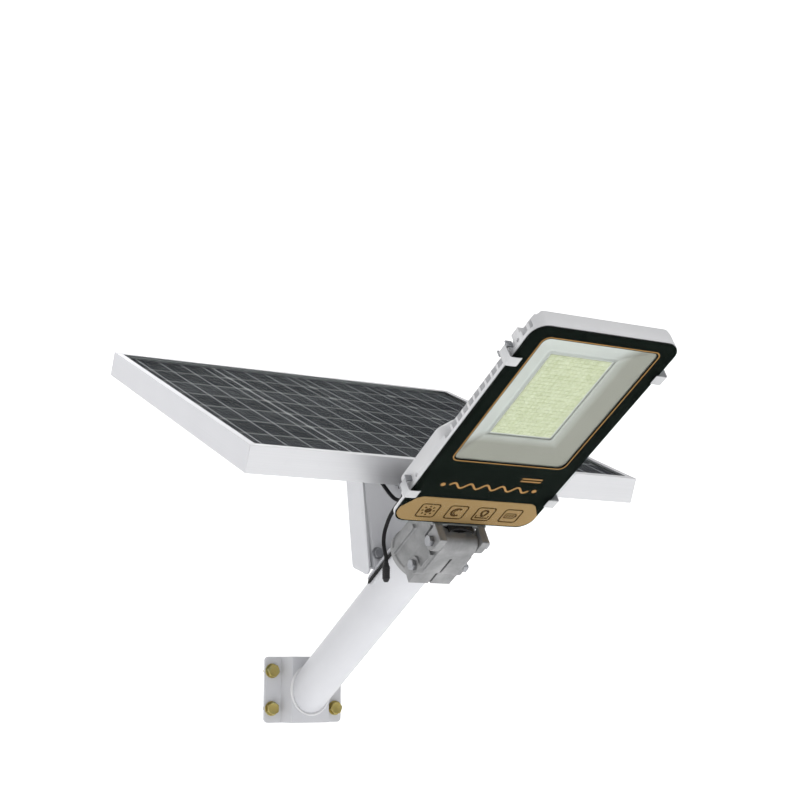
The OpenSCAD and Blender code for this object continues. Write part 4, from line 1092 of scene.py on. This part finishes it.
def chipDomes():
    # rows of square emitters: a low plate and one soft dome on each
    x = (np.arange(chips["columns"]) - (chips["columns"] - 1) / 2) * chips["pitch"]
    y = (np.arange(chips["rows"]) - (chips["rows"] - 1) / 2) * chips["pitch"]
    gx, gy = np.meshgrid(x, y)
    centres = np.stack([gx.ravel(), gy.ravel()], -1)[:, None]
    ring = np.array([(1, 0.6), (0.6, 1), (-0.6, 1), (-1, 0.6), (-1, -0.6), (-0.6, -1), (0.6, -1), (1, -0.6)])
    ring = ring * chips["half"]
    levels = [(1.0, -7.3), (1.0, -8.0), (0.82, -8.35), (0.45, -8.5)]
    verts = np.stack([onWindow(*np.moveaxis(centres + ring * k, -1, 0), n * mm) for k, n in levels], 1)
    first = np.arange(len(centres))[:, None] * len(levels) * 8
    faces = (gridFaces(len(levels), 8, closeCols=True)[None] + first[..., None]).reshape(-1, 4)
    return verts.reshape(-1, 3), [faces, first + (len(levels) - 1) * 8 + np.arange(8)]


makePiece("emitter_chips", chipDomes(), "head", "led_array", "led_phosphor", 70)
chipPlate = plate(roundRect(86 * mm, 140 * mm, 1 * mm, 4), -7.9 * mm, -7.05 * mm, onWindow)
makePiece("emitter_plate", chipPlate, "head", None, "led_phosphor", 40)
softened("latch_pins", "head", "bright_zinc", 0.25)


clip = {"pin": (108.5, -10.0), "thick": 1.0, "edges": (-7, -6.8, 6.8, 7), "upper": 757, "lower": 512}


def clipSkin(side, s):
    # bent strip: a half loop round the pin, a straight flank with a thumb bend, and the hook under the glass
    loop = arc(*clip["pin"], 2.45, 200, -20, 14)
    flank = [(110.75, -14), (110.75, -20), (110.6, -25)]
    foot = arc(108.3, -25.1, 2.3, 0, -90, 8)
    hook = [(104, -27.4), (99, -27.4), (95.2, -27.0), (94.6, -26.9)]
    line = np.concatenate([loop, flank, foot, hook])
    heading = np.gradient(line, axis=0)
    heading /= np.linalg.norm(heading, axis=1)[:, None]
    normal = np.stack([-heading[:, 1], heading[:, 0]], -1) * clip["thick"] / 2
    outline = np.concatenate([line + normal, (line - normal)[::-1]]) * mm
    verts = np.stack([onArm(outline[:, 0] * side, (s + w) * mm, outline[:, 1]) for w in clip["edges"]])
    total = len(outline)
    ends = np.arange(len(line) - 1)
    strip = np.stack([ends, ends + 1, total - 2 - ends, total - 1 - ends], -1)
    faces = [gridFaces(4, total, closeCols=True), strip[:, ::-1], strip + 3 * total]
    return verts.reshape(-1, 3), faces


for level in ("upper", "lower"):
    for hand, side in (("left", -1), ("right", 1)):
        node = "clip_" + level + "_" + hand
        makePiece(node + "_strip", clipSkin(side, clip[level]), node, node, "clip_steel", 45)
print("lamp head made")


studio = {"floor": -0.9, "sweep": 2.5, "paper": 0.62, "sky": 0.44, "aim": (0, -0.35, 0.25),
          "lights": {"key": ((1.2, -2.4, 2.4), 1.6, 25), "fill": ((-2.6, -1.6, 1.2), 2.4, 4),
                     "rim": ((0.6, 2.2, 2.0), 1.8, 12)}}


def seamlessFloor():
    # floor that sweeps up into a back wall: quarter circle between them
    t = np.linspace(0, np.pi / 2, 16)
    y = np.concatenate([[-9.0], 3 + studio["sweep"] * np.sin(t), [5.5]])
    z = np.concatenate([[0.0], studio["sweep"] * (1 - np.cos(t)), [9.0]]) + studio["floor"]
    x = np.array([-12.0, 12.0])
    return surface(np.stack(np.broadcast_arrays(x[None], y[:, None], z[:, None]), -1))


paper = Shader("studioFloor")
paperTone = paper.noise(paper.place(), 0.8, 2)
paperColour = paper.mix(paperTone, (0.93, 0.93, 0.93), (0.90, 0.90, 0.905))
floorMesh = meshOf("floor", seamlessFloor())
floorMesh.materials.append(paper.done({"Base Color": paperColour, "Roughness": 0.75 + paperTone * 0.1,
                                       "Specular IOR Level": 0.1, "Emission Color": (1, 1, 1),
                                       "Emission Strength": studio["paper"]}))
floorMesh.polygons.foreach_set("use_smooth", np.ones(len(floorMesh.polygons), bool))
floor = linked("floor", floorMesh)

world = bpy.data.worlds.new("studio")
world.use_nodes = True
world.node_tree.nodes["Background"].inputs["Color"].default_value = (1, 1, 1, 1)
world.node_tree.nodes["Background"].inputs["Strength"].default_value = studio["sky"]
bpy.context.scene.world = world
for name, (place, size, power) in studio["lights"].items():
    lightData = bpy.data.lights.new(name, "AREA")
    lightData.shape = "DISK"
    lightData.size = size
    lightData.energy = power
    light = linked(name, lightData)
    light.location = place
    light.rotation_mode = "QUATERNION"
    light.rotation_quaternion = (Vector(studio["aim"]) - Vector(place)).to_track_quat("-Z", "Y")
bpy.context.scene.view_settings.view_transform = "Standard"
print("stage set")
